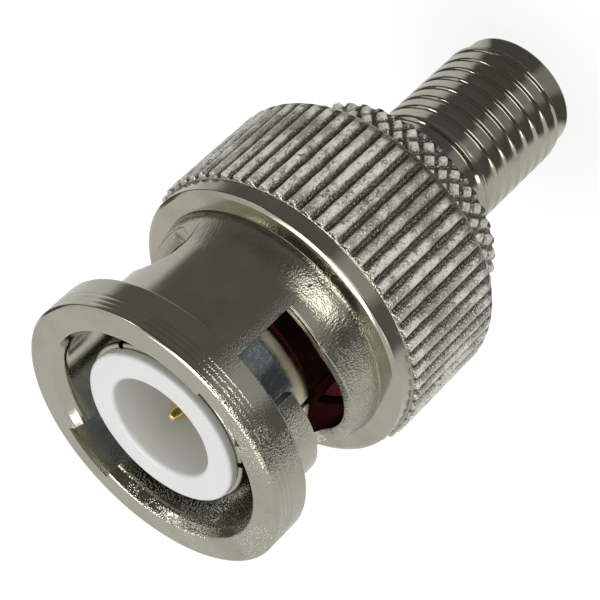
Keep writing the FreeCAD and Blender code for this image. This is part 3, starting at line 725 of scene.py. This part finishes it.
def slot_columns(nut, step):
    """Turns for the columns of half the nut: even steps, with pairs that nearly meet at each upright edge
    and finer steps near the ends of the pocket."""
    wall = (nut.bore + nut.sleeve) / 2.0
    quarter = math.pi / 2.0
    entry = math.asin(nut.entry_width / 2.0 / wall)
    pocket = math.asin(nut.pocket / wall)
    hair = 2e-4
    fine = pocket * (1.0 - (np.linspace(0.0, 1.0, 14) ** 2))
    turns = [np.arange(0.0, math.pi, step)]
    for edge in (quarter - entry, quarter + entry):
        turns.append(np.array([edge - hair, edge + hair]))
    turns.append(np.array([quarter - hair, quarter + hair]))
    turns.append(fine[1:])
    turns.append(math.pi - fine[1:-1])
    turns.append(np.array([math.pi - pocket - hair]))
    return np.unique(np.round(np.concatenate(turns), 7))


def build_sleeve(nut, material):
    """Bayonet sleeve: a wall whose rows follow the slot's edges. Rows run from the grip up to the slot's
    lower edge, across the opening, and from its upper edge to the lip. The outer radius flares at the foot
    by flare times a smooth step of 1 - h, with a small fillet (1 - h)^30, and both skins round off towards
    the slot's edges."""
    half = slot_columns(nut, math.radians(1.5))
    turn = np.concatenate([half, half + math.pi])
    angle = turn + nut.entry_angle - math.pi / 2.0
    low, high, is_open = slot_edges(nut, turn)
    foot = MOUTH - nut.grip_depth - 0.05 * MM
    top = MOUTH - nut.lip_height + 0.05 * MM
    high = np.where(high >= MOUTH - nut.lip_height - 1e-9, top, high)
    near = nut.edge * np.array([0.0, 0.12, 0.35, 0.65, 1.0])
    lower_rows, upper_rows = 26, 12
    share_of = np.linspace(0.0, 1.0, lower_rows)[None, :] ** 1.7
    low_part = foot + (low[:, None] - nut.edge - foot) * share_of
    low_rim = low[:, None] - near[::-1][None, 1:]
    share_of = np.linspace(0.0, 1.0, upper_rows)[None, :]
    start = np.minimum(high + nut.edge, top)
    high_part = start[:, None] + (top - start[:, None]) * share_of
    high_rim = np.minimum(high[:, None] + near[None, :-1], top)
    height = np.concatenate([low_part, low_rim, high_rim, high_part], axis=1)
    gap_row = lower_rows + len(near) - 2
    depth = np.concatenate([
        np.full(low_part.shape, nut.edge), np.broadcast_to(near[::-1][None, 1:], low_rim.shape),
        np.broadcast_to(near[None, :-1], high_rim.shape), np.full(high_part.shape, nut.edge)], axis=1)
    depth = np.where(is_open[:, None], depth, nut.edge)
    rolled = nut.edge - np.sqrt(np.maximum(nut.edge ** 2 - (nut.edge - depth) ** 2, 0.0))
    rise = np.clip((height - foot) / nut.flare_height, 0.0, 1.0)
    flare = nut.flare * smooth(1.0 - rise) + nut.fillet * (1.0 - rise) ** 30
    outer_radius = nut.sleeve + flare - rolled
    inner_radius = nut.bore + rolled
    outer = turned(outer_radius, angle[:, None], height)
    outer = outer - grain_shift(outer, nut.grain * 1.5, 0.16 * MM, 11) * (1.0 - smooth(rise * 0.75))[..., None]
    inner = turned(inner_radius, angle[:, None], height)
    keep = np.ones((len(angle), height.shape[1] - 1), bool)
    opened = is_open | np.roll(is_open, -1)
    keep[opened, gap_row] = False
    flat = (high >= top) & (np.roll(high, -1) >= top)
    keep[flat, gap_row + 1:] = False
    points, quads = shell_mesh(outer, inner, keep)
    return make_piece("nut_sleeve", points, quads, "coupling", material)


def grain_shift(points, depth, size, seed):
    """Shift towards the axis by grain of two sizes, from none to depth."""
    value = grain(points, size, seed) * 0.65 + grain(points, size * 0.45, seed + 1) * 0.35
    radial = points * np.array([1.0, 1.0, 0.0])
    radial = radial / np.linalg.norm(radial, axis=-1, keepdims=True)
    return radial * ((value + 1.0) * 0.5 * depth)[..., None]


def build_lip(nut, material):
    """Lip: its rounded outline turned about the axis, with two notches where the inside steps outwards.
    Three fine tool grooves, each a narrow bell curve, run round near the front."""
    step = 0.05 * MM
    foot = MOUTH - nut.lip_height
    round_edge = 0.17 * MM
    path = rounded([
        (nut.bore, foot, 0.0), (nut.sleeve, foot, 0.0), (nut.lip, foot, round_edge),
        (nut.lip, MOUTH - 0.1 * MM, 0.05 * MM), (nut.lip - 0.13 * MM, MOUTH, 0.05 * MM),
        (nut.bore + 0.35 * MM, MOUTH, 0.08 * MM),
        (nut.bore, MOUTH - 0.45 * MM, 0.15 * MM)], step)
    wall = (nut.bore + nut.notch) / 2.0
    entry = math.asin(nut.entry_width / 2.0 / wall)
    hair = 2e-4
    half = np.unique(np.round(np.concatenate([
        np.arange(0.0, math.pi, math.radians(1.25)),
        [math.pi / 2 - entry - hair, math.pi / 2 - entry + hair],
        [math.pi / 2 + entry - hair, math.pi / 2 + entry + hair]]), 7))
    turn = np.concatenate([half, half + math.pi])
    angle = (turn + nut.entry_angle - math.pi / 2.0)[:, None]
    notched = (np.abs(np.mod(turn, math.pi) - math.pi / 2.0) < entry)[:, None]
    radius = np.where(notched, np.maximum(path[None, :, 0], nut.notch), path[None, :, 0])
    height = np.broadcast_to(path[None, :, 1], radius.shape)
    on_wall = smooth((radius - nut.lip + 0.05 * MM) / (0.05 * MM))
    for depth_below in (0.34, 0.58, 0.83):
        bell = np.exp(-((MOUTH - height - depth_below * MM) / (0.045 * MM)) ** 2)
        radius = radius - 0.03 * MM * bell * on_wall
    grid = turned(radius, angle, height)
    return ring_piece("nut_lip", grid, "coupling", material, ("coupling_nut",))


def build_grip(nut, material):
    """Grip: its outline turned about the axis. The outer radius is the smaller of the outline and the
    knurl, whose section goes from root to crest by a smooth step across each flank."""
    foot = NUT_LOW.z
    front = MOUTH - nut.grip_depth
    crest = nut.knurl_root + nut.knurl_depth
    step_height = SEAL_LOW.z + 0.04 * MM
    ring_foot, ring_top = RING_LOW.z - 0.04 * MM, RING_HIGH.z + 0.04 * MM
    groove = nut.counterbore + 0.5 * MM
    band_top = front - nut.band_height
    outside = rounded([
        (nut.counterbore, foot, 0.05 * MM), (6.5 * MM, foot, 0.15 * MM), (6.86 * MM, foot + 0.3 * MM, 0.2 * MM),
        (crest, foot + 0.75 * MM, 0.25 * MM), (crest, band_top - 0.06 * MM, 0.03 * MM),
        (nut.band, band_top + 0.02 * MM, 0.05 * MM), (nut.band, front - 0.12 * MM, 0.05 * MM),
        (nut.band - 0.2 * MM, front, 0.05 * MM),
        (nut.bore, front, 0.0)], 0.25 * MM)
    inside = rounded([
        (nut.bore, front, 0.0), (nut.bore, step_height, 0.0), (nut.counterbore, step_height, 0.0),
        (nut.counterbore, ring_top, 0.0), (groove, ring_top, 0.0), (groove, ring_foot, 0.0),
        (nut.counterbore, ring_foot, 0.0), (nut.counterbore, foot, 0.05 * MM)])
    path = np.concatenate([outside[:-1], inside])
    phase = np.array([
        -0.5, -0.42, -0.34, -0.26, -0.19, -0.13, -0.07, 0.0, 0.07, 0.13, 0.19, 0.26, 0.34, 0.42])
    tooth = 2.0 * math.pi / nut.knurl_teeth
    first = nut.entry_angle - math.pi / 2.0
    turn = (np.arange(nut.knurl_teeth)[:, None] + phase[None, :]).ravel()
    angle = (first + turn * tooth)[:, None]
    across = np.abs(turn - np.round(turn))[:, None] * 2.0
    wobble = grain(turned(nut.knurl_root, angle, path[None, :, 1]), 0.5 * MM, 5) * 0.05
    section = nut.knurl_root + nut.knurl_depth * smooth((across + wobble - 0.02) / 0.8)
    radius = np.broadcast_to(path[None, :, 0], section.shape)
    outer = radius > nut.knurl_root
    radius = np.where(outer, np.minimum(radius, section), radius)
    grid = turned(radius, angle, path[None, :, 1])
    rough = grain_shift(grid, nut.grain * 2.4, 0.2 * MM, 21)
    knurled = smooth((band_top - path[None, :, 1]) / (0.2 * MM)) * (radius > 6.6 * MM)
    grid = grid - rough * knurled[..., None]
    return ring_piece("nut_grip", grid, "coupling", material, sharp=60.0)


def build_thread(body, material):
    """Threaded barrel: its outline turned about the axis, cut by a helical groove. The groove falls by a
    smooth step from a broad, slightly domed crest to its middle, and it fades at both ends."""
    step = 0.05 * MM
    path = rounded([
        (body.mouth, BODY_LOW.z, 0.06 * MM), (body.land, BODY_LOW.z, 0.14 * MM),
        (body.land, body.land_height, 0.04 * MM),
        (body.thread, body.land_height + body.thread - body.land, 0.05 * MM),
        (body.thread, body.thread_end, 0.05 * MM),
        (body.barrel, body.thread_end + body.thread - body.barrel, 0.05 * MM),
        (body.barrel, body.collar_low + 0.02 * MM, 0.0), (body.core, body.collar_low + 0.02 * MM, 0.0),
        (body.core, body.jack_depth, 0.0), (body.mouth, body.jack_depth, 0.0)], step)
    angle = np.linspace(0.0, 2.0 * math.pi, 160, endpoint=False)[:, None]
    height = path[None, :, 1]
    phase = height / body.pitch - angle / (2.0 * math.pi)
    off = np.abs(phase - np.round(phase)) * 2.0
    cut = smooth((0.42 - off) / 0.38)
    fade = smooth((height - body.land_height) / (0.5 * MM))
    fade = fade * smooth((body.thread_end + 0.1 * MM - height) / (0.5 * MM))
    on_thread = path[None, :, 0] > body.barrel + 0.05 * MM
    radius = path[None, :, 0] - body.thread_depth * cut * fade * on_thread
    grid = turned(radius, angle, height)
    return ring_piece("body_thread", grid, "adapter_body", material, ("main_body",), sharp=70.0)


def build_collar(body, material):
    """Diamond knurl: two families of crossing grooves, each a rounded V over its phase, and the deeper of
    the two counts at each point. The points are cut back unevenly by grain."""
    bevel = 0.3 * MM
    path = rounded([
        (body.core, body.collar_low, 0.0), (body.collar - bevel, body.collar_low, 0.05 * MM),
        (body.collar, body.collar_low + bevel, 0.08 * MM), (body.collar, body.collar_high - bevel, 0.08 * MM),
        (body.collar - bevel, body.collar_high, 0.05 * MM), (body.core, body.collar_high, 0.0)], 0.075 * MM)
    angle = np.linspace(0.0, 2.0 * math.pi, body.points * 14, endpoint=False)[:, None]
    height = path[None, :, 1]
    around = angle * body.points / (2.0 * math.pi)
    spacing = 2.0 * math.pi * body.collar / body.points
    middle = (body.collar_low + body.collar_high) / 2.0
    along = (height - middle) * math.tan(body.point_lean) / spacing
    bent = grain(turned(body.collar, angle, height), 0.9 * MM, 33) * 0.12
    deepest = np.zeros(np.broadcast(around, along).shape)
    for family in (around + along + bent, around - along + bent):
        off = np.abs(family - np.round(family)) * 2.0
        closeness = 1.0 - off * 1.3
        deepest = np.maximum(deepest, smooth(closeness) * 0.5 + np.maximum(closeness, 0.0) * 0.5)
    outside = smooth((path[None, :, 0] - body.collar + 0.5 * MM) / (0.3 * MM))
    top = body.collar - 0.03 * MM
    radius = np.minimum(path[None, :, 0], top) - body.point_depth * deepest * outside
    grid = turned(radius, angle, height)
    rough = grain_shift(grid, 0.07 * MM, 0.2 * MM, 31)
    grid = grid - rough * outside[..., None]
    return ring_piece("body_collar", grid, "adapter_body", material, sharp=70.0)


def build_neck(body, inner, material):
    """Neck and flange inside the nut, a plain turned outline."""
    path = rounded([
        (body.core, body.collar_high - 0.02 * MM, 0.0), (body.neck, body.collar_high - 0.02 * MM, 0.0),
        (body.neck, body.flange_under, 0.03 * MM), (body.flange, body.flange_under, 0.06 * MM),
        (body.flange, BODY_HIGH.z, 0.06 * MM), (inner.root, BODY_HIGH.z, 0.0),
        (inner.root, CONTACT_LOW.z, 0.0), (body.core, CONTACT_LOW.z, 0.0)])
    return ring_piece("body_neck", lathe(path, 128), "adapter_body", material)


def build_contact(inner, material):
    """Outer contact: a stepped tube with even slits from the front. Both skins share their rows, and the
    cells of the slits are open."""
    front, back = CONTACT_HIGH.z, CONTACT_HIGH.z - inner.tip_length
    slope = inner.tip - inner.waist
    seat = BODY_HIGH.z
    slit_end = front - inner.slit_length
    edge = 0.12 * MM
    rows = np.array([
        (inner.root, inner.root - inner.wall, CONTACT_LOW.z),
        (inner.root, inner.root - inner.wall, seat - 0.001 * MM),
        (inner.waist, inner.root - inner.wall, seat),
        (inner.waist, inner.root - inner.wall, seat + inner.wall),
        (inner.waist, inner.waist - inner.wall, seat + inner.wall + 0.001 * MM),
        (inner.waist, inner.waist - inner.wall, slit_end),
        (inner.waist, inner.waist - inner.wall, back - slope - 0.05 * MM),
        (inner.waist + 0.01 * MM, inner.waist - inner.wall, back - slope),
        (inner.tip - 0.01 * MM, inner.tip - inner.wall, back),
        (inner.tip, inner.tip - inner.wall, back + 0.05 * MM),
        (inner.tip, inner.tip - inner.wall, front - edge * 1.5),
        (inner.tip, inner.tip - inner.wall, front - edge),
        (inner.tip - edge * 0.3, inner.tip - inner.wall, front - edge * 0.35),
        (inner.tip - edge, inner.tip - inner.wall, front),
    ])
    sector = 2.0 * math.pi / inner.slits
    gap = inner.slit_width / inner.tip
    inside = np.linspace(gap / 2.0, sector - gap / 2.0, 26)
    starts = inner.slit_angle + sector * np.arange(inner.slits)[:, None]
    angle = (starts + inside[None, :]).ravel()[:, None]
    outer = turned(rows[None, :, 0], angle, rows[None, :, 2])
    skin = turned(rows[None, :, 1], angle, rows[None, :, 2])
    keep = np.ones((len(angle), len(rows) - 1), bool)
    slit_row = 5
    keep[len(inside) - 1::len(inside), slit_row:] = False
    points, quads = shell_mesh(outer, skin, keep)
    return make_piece("contact_tube", points, quads, "adapter_body", material,
                      ("outer_contact",))


def build_insulator(inner, material):
    """White insulator: a turned outline with a rounded rim round its deep bore."""
    top, foot = WHITE_HIGH.z, WHITE_LOW.z
    gap = 0.01 * MM
    back, slope = CONTACT_HIGH.z - inner.tip_length, inner.tip - inner.waist
    seat = BODY_HIGH.z + inner.wall
    bore_end = top - inner.bore_depth
    shoulder_top = foot + 0.8 * MM
    path = rounded([
        (inner.pin_shoulder, foot, 0.0), (inner.root - inner.wall - gap, foot, 0.0),
        (inner.root - inner.wall - gap, seat, 0.0), (inner.waist - inner.wall - gap, seat, 0.0),
        (inner.waist - inner.wall - gap, back - slope, 0.0), (inner.tip - inner.wall - gap, back, 0.0),
        (inner.tip - inner.wall - gap, CONTACT_HIGH.z + gap, 0.0), (inner.rim, CONTACT_HIGH.z + gap, 0.05 * MM),
        (inner.rim, top, inner.rounding), (inner.bore, top, inner.rounding * 0.6),
        (inner.bore, bore_end, 0.2 * MM), (inner.pin, bore_end, 0.0),
        (inner.pin, shoulder_top, 0.0), (inner.pin_shoulder, shoulder_top, 0.0)], 0.4 * MM, 9)
    return ring_piece("insulator_body", lathe(path, 128), "adapter_body", material,
                      ("bnc_insulator",), sharp=60.0)


def build_pin(inner, material):
    """Gold pin: a turned outline with a long rounded point; its poles are welded on the axis."""
    top, foot = PIN_HIGH.z + inner.pin_reach, PIN_LOW.z
    shoulder = WHITE_LOW.z
    path = rounded([
        (0.0, foot, 0.0), (0.4 * MM, foot, 0.03 * MM), (0.4 * MM, shoulder, 0.0),
        (inner.pin_shoulder, shoulder, 0.02 * MM), (inner.pin_shoulder, shoulder + 0.8 * MM, 0.02 * MM),
        (inner.pin, shoulder + 0.8 * MM, 0.0), (inner.pin, top - inner.pin_taper, 0.3 * MM),
        (0.14 * MM, top - 0.02 * MM, 0.06 * MM), (0.0, top, 0.0)], None, 7)
    return ring_piece("pin_body", lathe(path, 64), "adapter_body", material, ("bnc_pin",),
                      sharp=40.0)


def build_gasket(inner, material):
    """Red gasket: a turned outline with softly rounded edges."""
    outside = SEAL_HIGH.x
    path = rounded([
        (inner.waist + 0.01 * MM, SEAL_LOW.z, 0.02 * MM), (outside, SEAL_LOW.z, 0.1 * MM),
        (outside, SEAL_HIGH.z, 0.3 * MM), (inner.waist + 0.01 * MM, SEAL_HIGH.z, 0.3 * MM)], 0.15 * MM, 8)
    return ring_piece("gasket_body", lathe(path, 128), "adapter_body", material, ("gasket",),
                      sharp=60.0)


def build_wave(material):
    """Wave spring: a flat strip whose height is the middle plus a cosine of three times the angle. In the
    adapter it is squeezed between the flange and the sliding washer as the nut travels; here it keeps one
    shape."""
    low, high = WAVE_LOW.z, WAVE_HIGH.z
    strip = 0.2 * MM
    rise = (high - low - strip) / 2.0
    angle = np.linspace(0.0, 2.0 * math.pi, 144, endpoint=False)[:, None]
    radius = np.array([4.26, 5.28, 5.28, 4.26])[None, :] * MM
    side = np.array([-0.5, -0.5, 0.5, 0.5])[None, :] * strip
    grid = turned(radius, angle, (low + high) / 2.0 + rise * np.cos(3.0 * angle) + side)
    piece = ring_piece("wave_spring", grid, "adapter_body", material, ("wave_washer",),
                       sharp=40.0)
    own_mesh(piece)
    return piece


class ADAPTER_OT_nut(bpy.types.Operator):
    """Build the coupling nut: lip, bayonet sleeve and grip"""
    bl_idname = "adapter.nut"
    bl_label = "Coupling Nut"

    def execute(self, context):
        nut = context.scene.adapter_nut
        build_lip(nut, cast_nickel())
        build_sleeve(nut, cast_nickel())
        knurl_top = MOUTH - nut.grip_depth - nut.band_height
        crest = nut.knurl_root + nut.knurl_depth
        build_grip(nut, knurled_nickel("knurled_grip", nut.knurl_root, crest, knurl_top, NUT_LOW.z, 0.42))
        return {"FINISHED"}


class ADAPTER_OT_body(bpy.types.Operator):
    """Build the body: threaded barrel, knurled collar, neck and flange"""
    bl_idname = "adapter.body"
    bl_label = "Body and Thread"

    def execute(self, context):
        body, inner = context.scene.adapter_body, context.scene.adapter_inner
        material = turned_nickel()
        build_thread(body, material)
        build_collar(body, knurled_nickel(
            "knurled_collar", body.collar - body.point_depth * 1.1, body.collar - 0.1 * MM, body.collar_high,
            body.collar_low - 1.5 * MM, 0.8))
        build_neck(body, inner, material)
        return {"FINISHED"}


class ADAPTER_OT_inner(bpy.types.Operator):
    """Build the outer contact, the white insulator, the gold pin and the gasket"""
    bl_idname = "adapter.inner"
    bl_label = "Inner Parts"

    def execute(self, context):
        inner = context.scene.adapter_inner
        build_contact(inner, contact_nickel_painted_light())
        build_insulator(inner, white_plastic())
        build_pin(inner, plated_gold())
        build_gasket(inner, red_silicone())
        return {"FINISHED"}


class ADAPTER_OT_hidden(bpy.types.Operator):
    """Build the wave spring, and finish the washer, the retaining ring and the jack's own parts"""
    bl_idname = "adapter.hidden"
    bl_label = "Washers and Jack Parts"

    def execute(self, context):
        build_wave(spring_steel())
        finishes = {
            "thrust_washer": spring_steel(), "retaining_ring": spring_steel(),
            "sma_insulator": white_plastic(), "sma_socket": plated_gold(),
        }
        for node, material in finishes.items():
            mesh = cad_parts[node].data
            mesh.materials.clear()
            mesh.materials.append(material)
        return {"FINISHED"}


def glow(tree, colour_value, strength):
    """A light-giving shader."""
    made = value_in(add_node(tree, "ShaderNodeEmission"), Strength=strength)
    if isinstance(colour_value, bpy.types.NodeSocket):
        tree.links.new(colour_value, made.inputs["Color"])
    else:
        made.inputs["Color"].default_value = (*colour_value, 1.0)
    return made


def seen_directly(tree):
    """One for camera, glossy and transmission rays, otherwise nothing."""
    path = tree.nodes.new("ShaderNodeLightPath")
    both = mathed(tree, "MAXIMUM", path.outputs["Is Camera Ray"], path.outputs["Is Glossy Ray"])
    return mathed(tree, "MAXIMUM", both, path.outputs["Is Transmission Ray"])


def bare_material(name):
    """A material with nothing but its output."""
    made = bpy.data.materials.new(name)
    made.use_nodes = True
    made.node_tree.nodes.clear()
    return made, made.node_tree, made.node_tree.nodes.new("ShaderNodeOutputMaterial")


def floor_material(studio):
    """Pale floor that shows white to the camera and in reflections, and still takes a soft shadow."""
    made, tree, out = bare_material("pale_floor")
    matt = value_in(add_node(tree, "ShaderNodeBsdfDiffuse"), Color=(*[c * 0.35 for c in studio.floor], 1.0))
    pale = glow(tree, (0.82, 0.82, 0.82), 1.0)
    both = tree.nodes.new("ShaderNodeAddShader")
    tree.links.new(matt.outputs["BSDF"], both.inputs[0])
    tree.links.new(pale.outputs["Emission"], both.inputs[1])
    plain = value_in(add_node(tree, "ShaderNodeBsdfDiffuse"), Color=(*studio.floor, 1.0))
    mixed = tree.nodes.new("ShaderNodeMixShader")
    tree.links.new(seen_directly(tree), mixed.inputs["Fac"])
    tree.links.new(plain.outputs["BSDF"], mixed.inputs[1])
    tree.links.new(both.outputs["Shader"], mixed.inputs[2])
    tree.links.new(mixed.outputs["Shader"], out.inputs["Surface"])
    return made


# Plain card that the plating mirrors from below: pale all round, with two dark flags in front and a grey
# gap between them. Each field starts at its edge, in degrees from the front towards -X.
CARD_FIELDS = [(-180.0, 0.75), (-100.0, 0.15), (0.0, 0.45), (35.0, 0.15), (75.0, 0.75)]
CARD_BLEND = 5.0


def card_stops():
    """Stops of the card's ramp: a field keeps its shade, and an edge blends over a few degrees."""
    stops = [CARD_FIELDS[0]]
    for (_, before), (edge, after) in zip(CARD_FIELDS, CARD_FIELDS[1:]):
        stops += [(edge - CARD_BLEND, before), (edge + CARD_BLEND, after)]
    return stops + [(180.0, CARD_FIELDS[-1][1])]


def mirror_card_material():
    """Card that only reflections see: its fields change with direction round the axis."""
    made, tree, out = bare_material("mirror_card")
    split = own_place(tree)[1]
    side = times(tree, split["X"], -1.0)
    ahead = times(tree, split["Y"], -1.0)
    turn = mathed(tree, "ARCTAN2", side, ahead)
    square = plus(tree, times(tree, side, side), times(tree, ahead, ahead))
    near = stretch(tree, mathed(tree, "SQRT", square), 11.0 * MM, 20.0 * MM, 1.0, 0.0)
    middle = stretch(tree, mathed(tree, "ABSOLUTE", turn), 1.35, 1.05, 0.0, 0.3)
    shade = mathed(tree, "SUBTRACT", 1.0, times(tree, middle, near))
    left = plus(tree, times(tree, near, 0.6), 1.0)
    right = plus(tree, times(tree, near, 0.12), 1.0)
    left = times(tree, mathed(tree, "MINIMUM", turn, 0.0), left)
    right = times(tree, mathed(tree, "MAXIMUM", turn, 0.0), right)
    turn = plus(tree, left, right)
    place = mathed(tree, "MULTIPLY_ADD", turn, 0.5 / math.pi)
    place.node.inputs[2].default_value = 0.5
    ramp = tree.nodes.new("ShaderNodeValToRGB")
    tree.links.new(place, ramp.inputs["Fac"])
    stops = ramp.color_ramp.elements
    for number, (degrees, grey) in enumerate(card_stops()):
        spot = (degrees + 180.0) / 360.0
        stop = stops[number] if number < 2 else stops.new(spot)
        stop.position = spot
        stop.color = (grey, grey, grey, 1.0)
    shine = glow(tree, ramp.outputs["Color"], 1.0)
    tree.links.new(shade, shine.inputs["Strength"])
    tree.links.new(shine.outputs["Emission"], out.inputs["Surface"])
    return made


def only_in_reflections(piece):
    """Hide a card from the camera, from shadows and from even light."""
    piece.visible_camera = False
    piece.visible_diffuse = False
    piece.visible_shadow = False
    piece.visible_transmission = False


def stage_mesh(name, points, quads, material):
    """A floor or card of the studio."""
    mesh = bpy.data.meshes.new(name)
    mesh.from_pydata(points, [], quads)
    piece = bpy.data.objects.new(name, mesh)
    bpy.context.scene.collection.objects.link(piece)
    mesh.materials.append(material)
    return piece


def flat_ring(inside, outside, height, columns=96):
    """Flat ring about the axis: two circles joined by quads."""
    angle = np.linspace(0.0, 2.0 * math.pi, columns, endpoint=False)[:, None]
    grid = turned(np.array([inside, outside])[None, :], angle, height)
    quads = ring_faces(columns, 2).reshape(columns, 2, 4)[:, 0]
    return grid.reshape(-1, 3), quads


def dark_screen():
    """Dark card at the front, seen only in reflections. Its upper edge is where the direction d from the
    part satisfies d . w = 0.2, with w the direction of the pale side, and in front at least 69 degrees up."""
    pale = np.array([-0.7258, 0.3554, 0.589])
    radius = 0.35
    angle = np.linspace(math.radians(-150.0), math.radians(60.0), 64)
    flat = pale[0] * np.cos(angle) + pale[1] * np.sin(angle)
    size = np.hypot(flat, pale[2])
    top = np.arcsin(np.clip(0.2 / size, -1.0, 1.0)) - np.arctan2(flat, pale[2])
    front = smooth((math.radians(70.0) - np.abs(angle + math.radians(84.0))) / math.radians(3.0))
    top = np.maximum(top, math.radians(69.0) * front)
    side = smooth((angle + math.radians(14.0)) / math.radians(3.0))
    top = np.clip(np.minimum(top, np.radians(85.0 - 60.0 * side)), 0.001, math.radians(85.0))
    share_of = np.linspace(0.0, 1.0, 12)[None, :]
    rise = top[:, None] * share_of
    grid = turned(radius * np.cos(rise), angle[:, None], radius * np.sin(rise))
    columns, rows = grid.shape[:2]
    column, row = np.meshgrid(np.arange(columns - 1), np.arange(rows - 1), indexing="ij")
    quads = np.stack([column * rows + row, (column + 1) * rows + row,
                      (column + 1) * rows + row + 1, column * rows + row + 1], -1).reshape(-1, 4)
    made, tree, out = bare_material("dark_card")
    shine = glow(tree, (0.09, 0.088, 0.075), 1.0)
    tree.links.new(shine.outputs["Emission"], out.inputs["Surface"])
    piece = stage_mesh("dark_screen", grid.reshape(-1, 3), quads, made)
    only_in_reflections(piece)
    return piece


def add_lamp(name, direction, distance, size, power):
    """A round soft lamp that faces the part from a direction."""
    aim = np.array([0.0, 0.0, 15.0 * MM])
    way = np.array(direction, float)
    way = way / np.linalg.norm(way)
    data = bpy.data.lights.new(name, "AREA")
    data.shape = "DISK"
    data.size = size
    data.energy = power
    lamp = bpy.data.objects.new(name, data)
    bpy.context.scene.collection.objects.link(lamp)
    side = np.cross([0.0, 0.0, 1.0], way)
    side = side / np.linalg.norm(side)
    up = np.cross(way, side)
    rows = np.stack([side, up, way], axis=1)
    spot = aim + way * distance
    lamp.matrix_world = Matrix([[*rows[i], spot[i]] for i in range(3)] + [[0.0, 0.0, 0.0, 1.0]])
    return lamp


def add_camera(studio):
    """Camera of the photograph: its place and its right, up and backward directions, as solved from the
    circles of the part."""
    data = bpy.data.cameras.new("Camera")
    data.sensor_width = 36.0
    data.lens = studio.lens
    data.clip_start, data.clip_end = 1.0 * MM, 10.0
    data.dof.use_dof = False
    camera = bpy.data.objects.new("Camera", data)
    bpy.context.scene.collection.objects.link(camera)
    right = (-0.687956, -0.376637, -0.620370)
    up = (0.725750, -0.355378, -0.589060)
    back = (0.001396, -0.855483, 0.517830)
    spot = (0.0, -86.67 * MM, 68.64 * MM)
    camera.matrix_world = Matrix([[right[i], up[i], back[i], spot[i]] for i in range(3)] + [[0, 0, 0, 1]])
    bpy.context.scene.camera = camera
    return camera


class ADAPTER_OT_studio(bpy.types.Operator):
    """Build the camera, the pale floor, the cards and the soft lamps"""
    bl_idname = "adapter.studio"
    bl_label = "Studio"

    def execute(self, context):
        studio = context.scene.adapter_studio
        add_camera(studio)
        points, quads = flat_ring(0.0, 1.5, BODY_LOW.z - 0.01 * MM)
        stage_mesh("floor", points, quads, floor_material(studio))
        points, quads = flat_ring(2.99 * MM, 1.4, BODY_LOW.z + 0.02 * MM)
        only_in_reflections(stage_mesh("mirror_card", points, quads, mirror_card_material()))
        dark_screen()
        add_lamp("left_lamp", (0.743, -0.185, 0.643), 0.16, 0.032, studio.key)
        add_lamp("right_lamp", (-0.71, -0.287, 0.643), 0.16, 0.032, studio.fill)
        add_lamp("top_lamp", (0.0, 0.03, 1.0), 0.16, 0.13, studio.top)
        add_lamp("front_lamp", (-0.2, -0.97, 0.12), 0.3, 0.2, studio.front)
        world = bpy.data.worlds.new("surround")
        context.scene.world = world
        world.use_nodes = True
        tree = world.node_tree
        tree.nodes.clear()
        out = tree.nodes.new("ShaderNodeOutputWorld")
        pale = value_in(add_node(tree, "ShaderNodeBackground"), Color=(1.0, 1.0, 1.0, 1.0))
        camera_ray = tree.nodes.new("ShaderNodeLightPath").outputs["Is Camera Ray"]
        strength = plus(tree, times(tree, camera_ray, 0.24), 0.76)
        tree.links.new(strength, pale.inputs["Strength"])
        plain = value_in(add_node(tree, "ShaderNodeBackground"), Color=(1.0, 1.0, 1.0, 1.0),
                         Strength=studio.daylight)
        mixed = tree.nodes.new("ShaderNodeMixShader")
        tree.links.new(seen_directly(tree), mixed.inputs["Fac"])
        tree.links.new(plain.outputs["Background"], mixed.inputs[1])
        tree.links.new(pale.outputs["Background"], mixed.inputs[2])
        tree.links.new(mixed.outputs["Shader"], out.inputs["Surface"])
        context.scene.view_settings.view_transform = "Standard"
        return {"FINISHED"}


OPERATORS = (ADAPTER_OT_studio, ADAPTER_OT_nut, ADAPTER_OT_body, ADAPTER_OT_inner, ADAPTER_OT_hidden)


class ADAPTER_PT_panel(bpy.types.Panel):
    """Sizes, finishes and steps of the adapter"""
    bl_label = "Coaxial Adapter"
    bl_idname = "ADAPTER_PT_panel"
    bl_space_type = "VIEW_3D"
    bl_region_type = "UI"
    bl_category = "Adapter"

    def draw(self, context):
        for operator in OPERATORS:
            self.layout.operator(operator.bl_idname)
        for attribute in GROUPS:
            settings = getattr(context.scene, attribute)
            box = self.layout.box()
            box.label(text=attribute.replace("_", " ").title())
            for key in settings.__annotations__:
                box.prop(settings, key)


CLASSES = (*GROUPS.values(), *OPERATORS, ADAPTER_PT_panel)


def register():
    """Register the classes and hang the settings on the scene."""
    for item in CLASSES:
        bpy.utils.register_class(item)
    for attribute, group in GROUPS.items():
        setattr(bpy.types.Scene, attribute, PointerProperty(type=group))


def unregister():
    """Take the settings and the classes away again."""
    for attribute in GROUPS:
        delattr(bpy.types.Scene, attribute)
    for item in reversed(CLASSES):
        bpy.utils.unregister_class(item)


def main():
    """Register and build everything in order."""
    register()
    bpy.ops.adapter.studio()
    bpy.ops.adapter.nut()
    bpy.ops.adapter.body()
    bpy.ops.adapter.inner()
    bpy.ops.adapter.hidden()


if __name__ == "__main__":
    main()
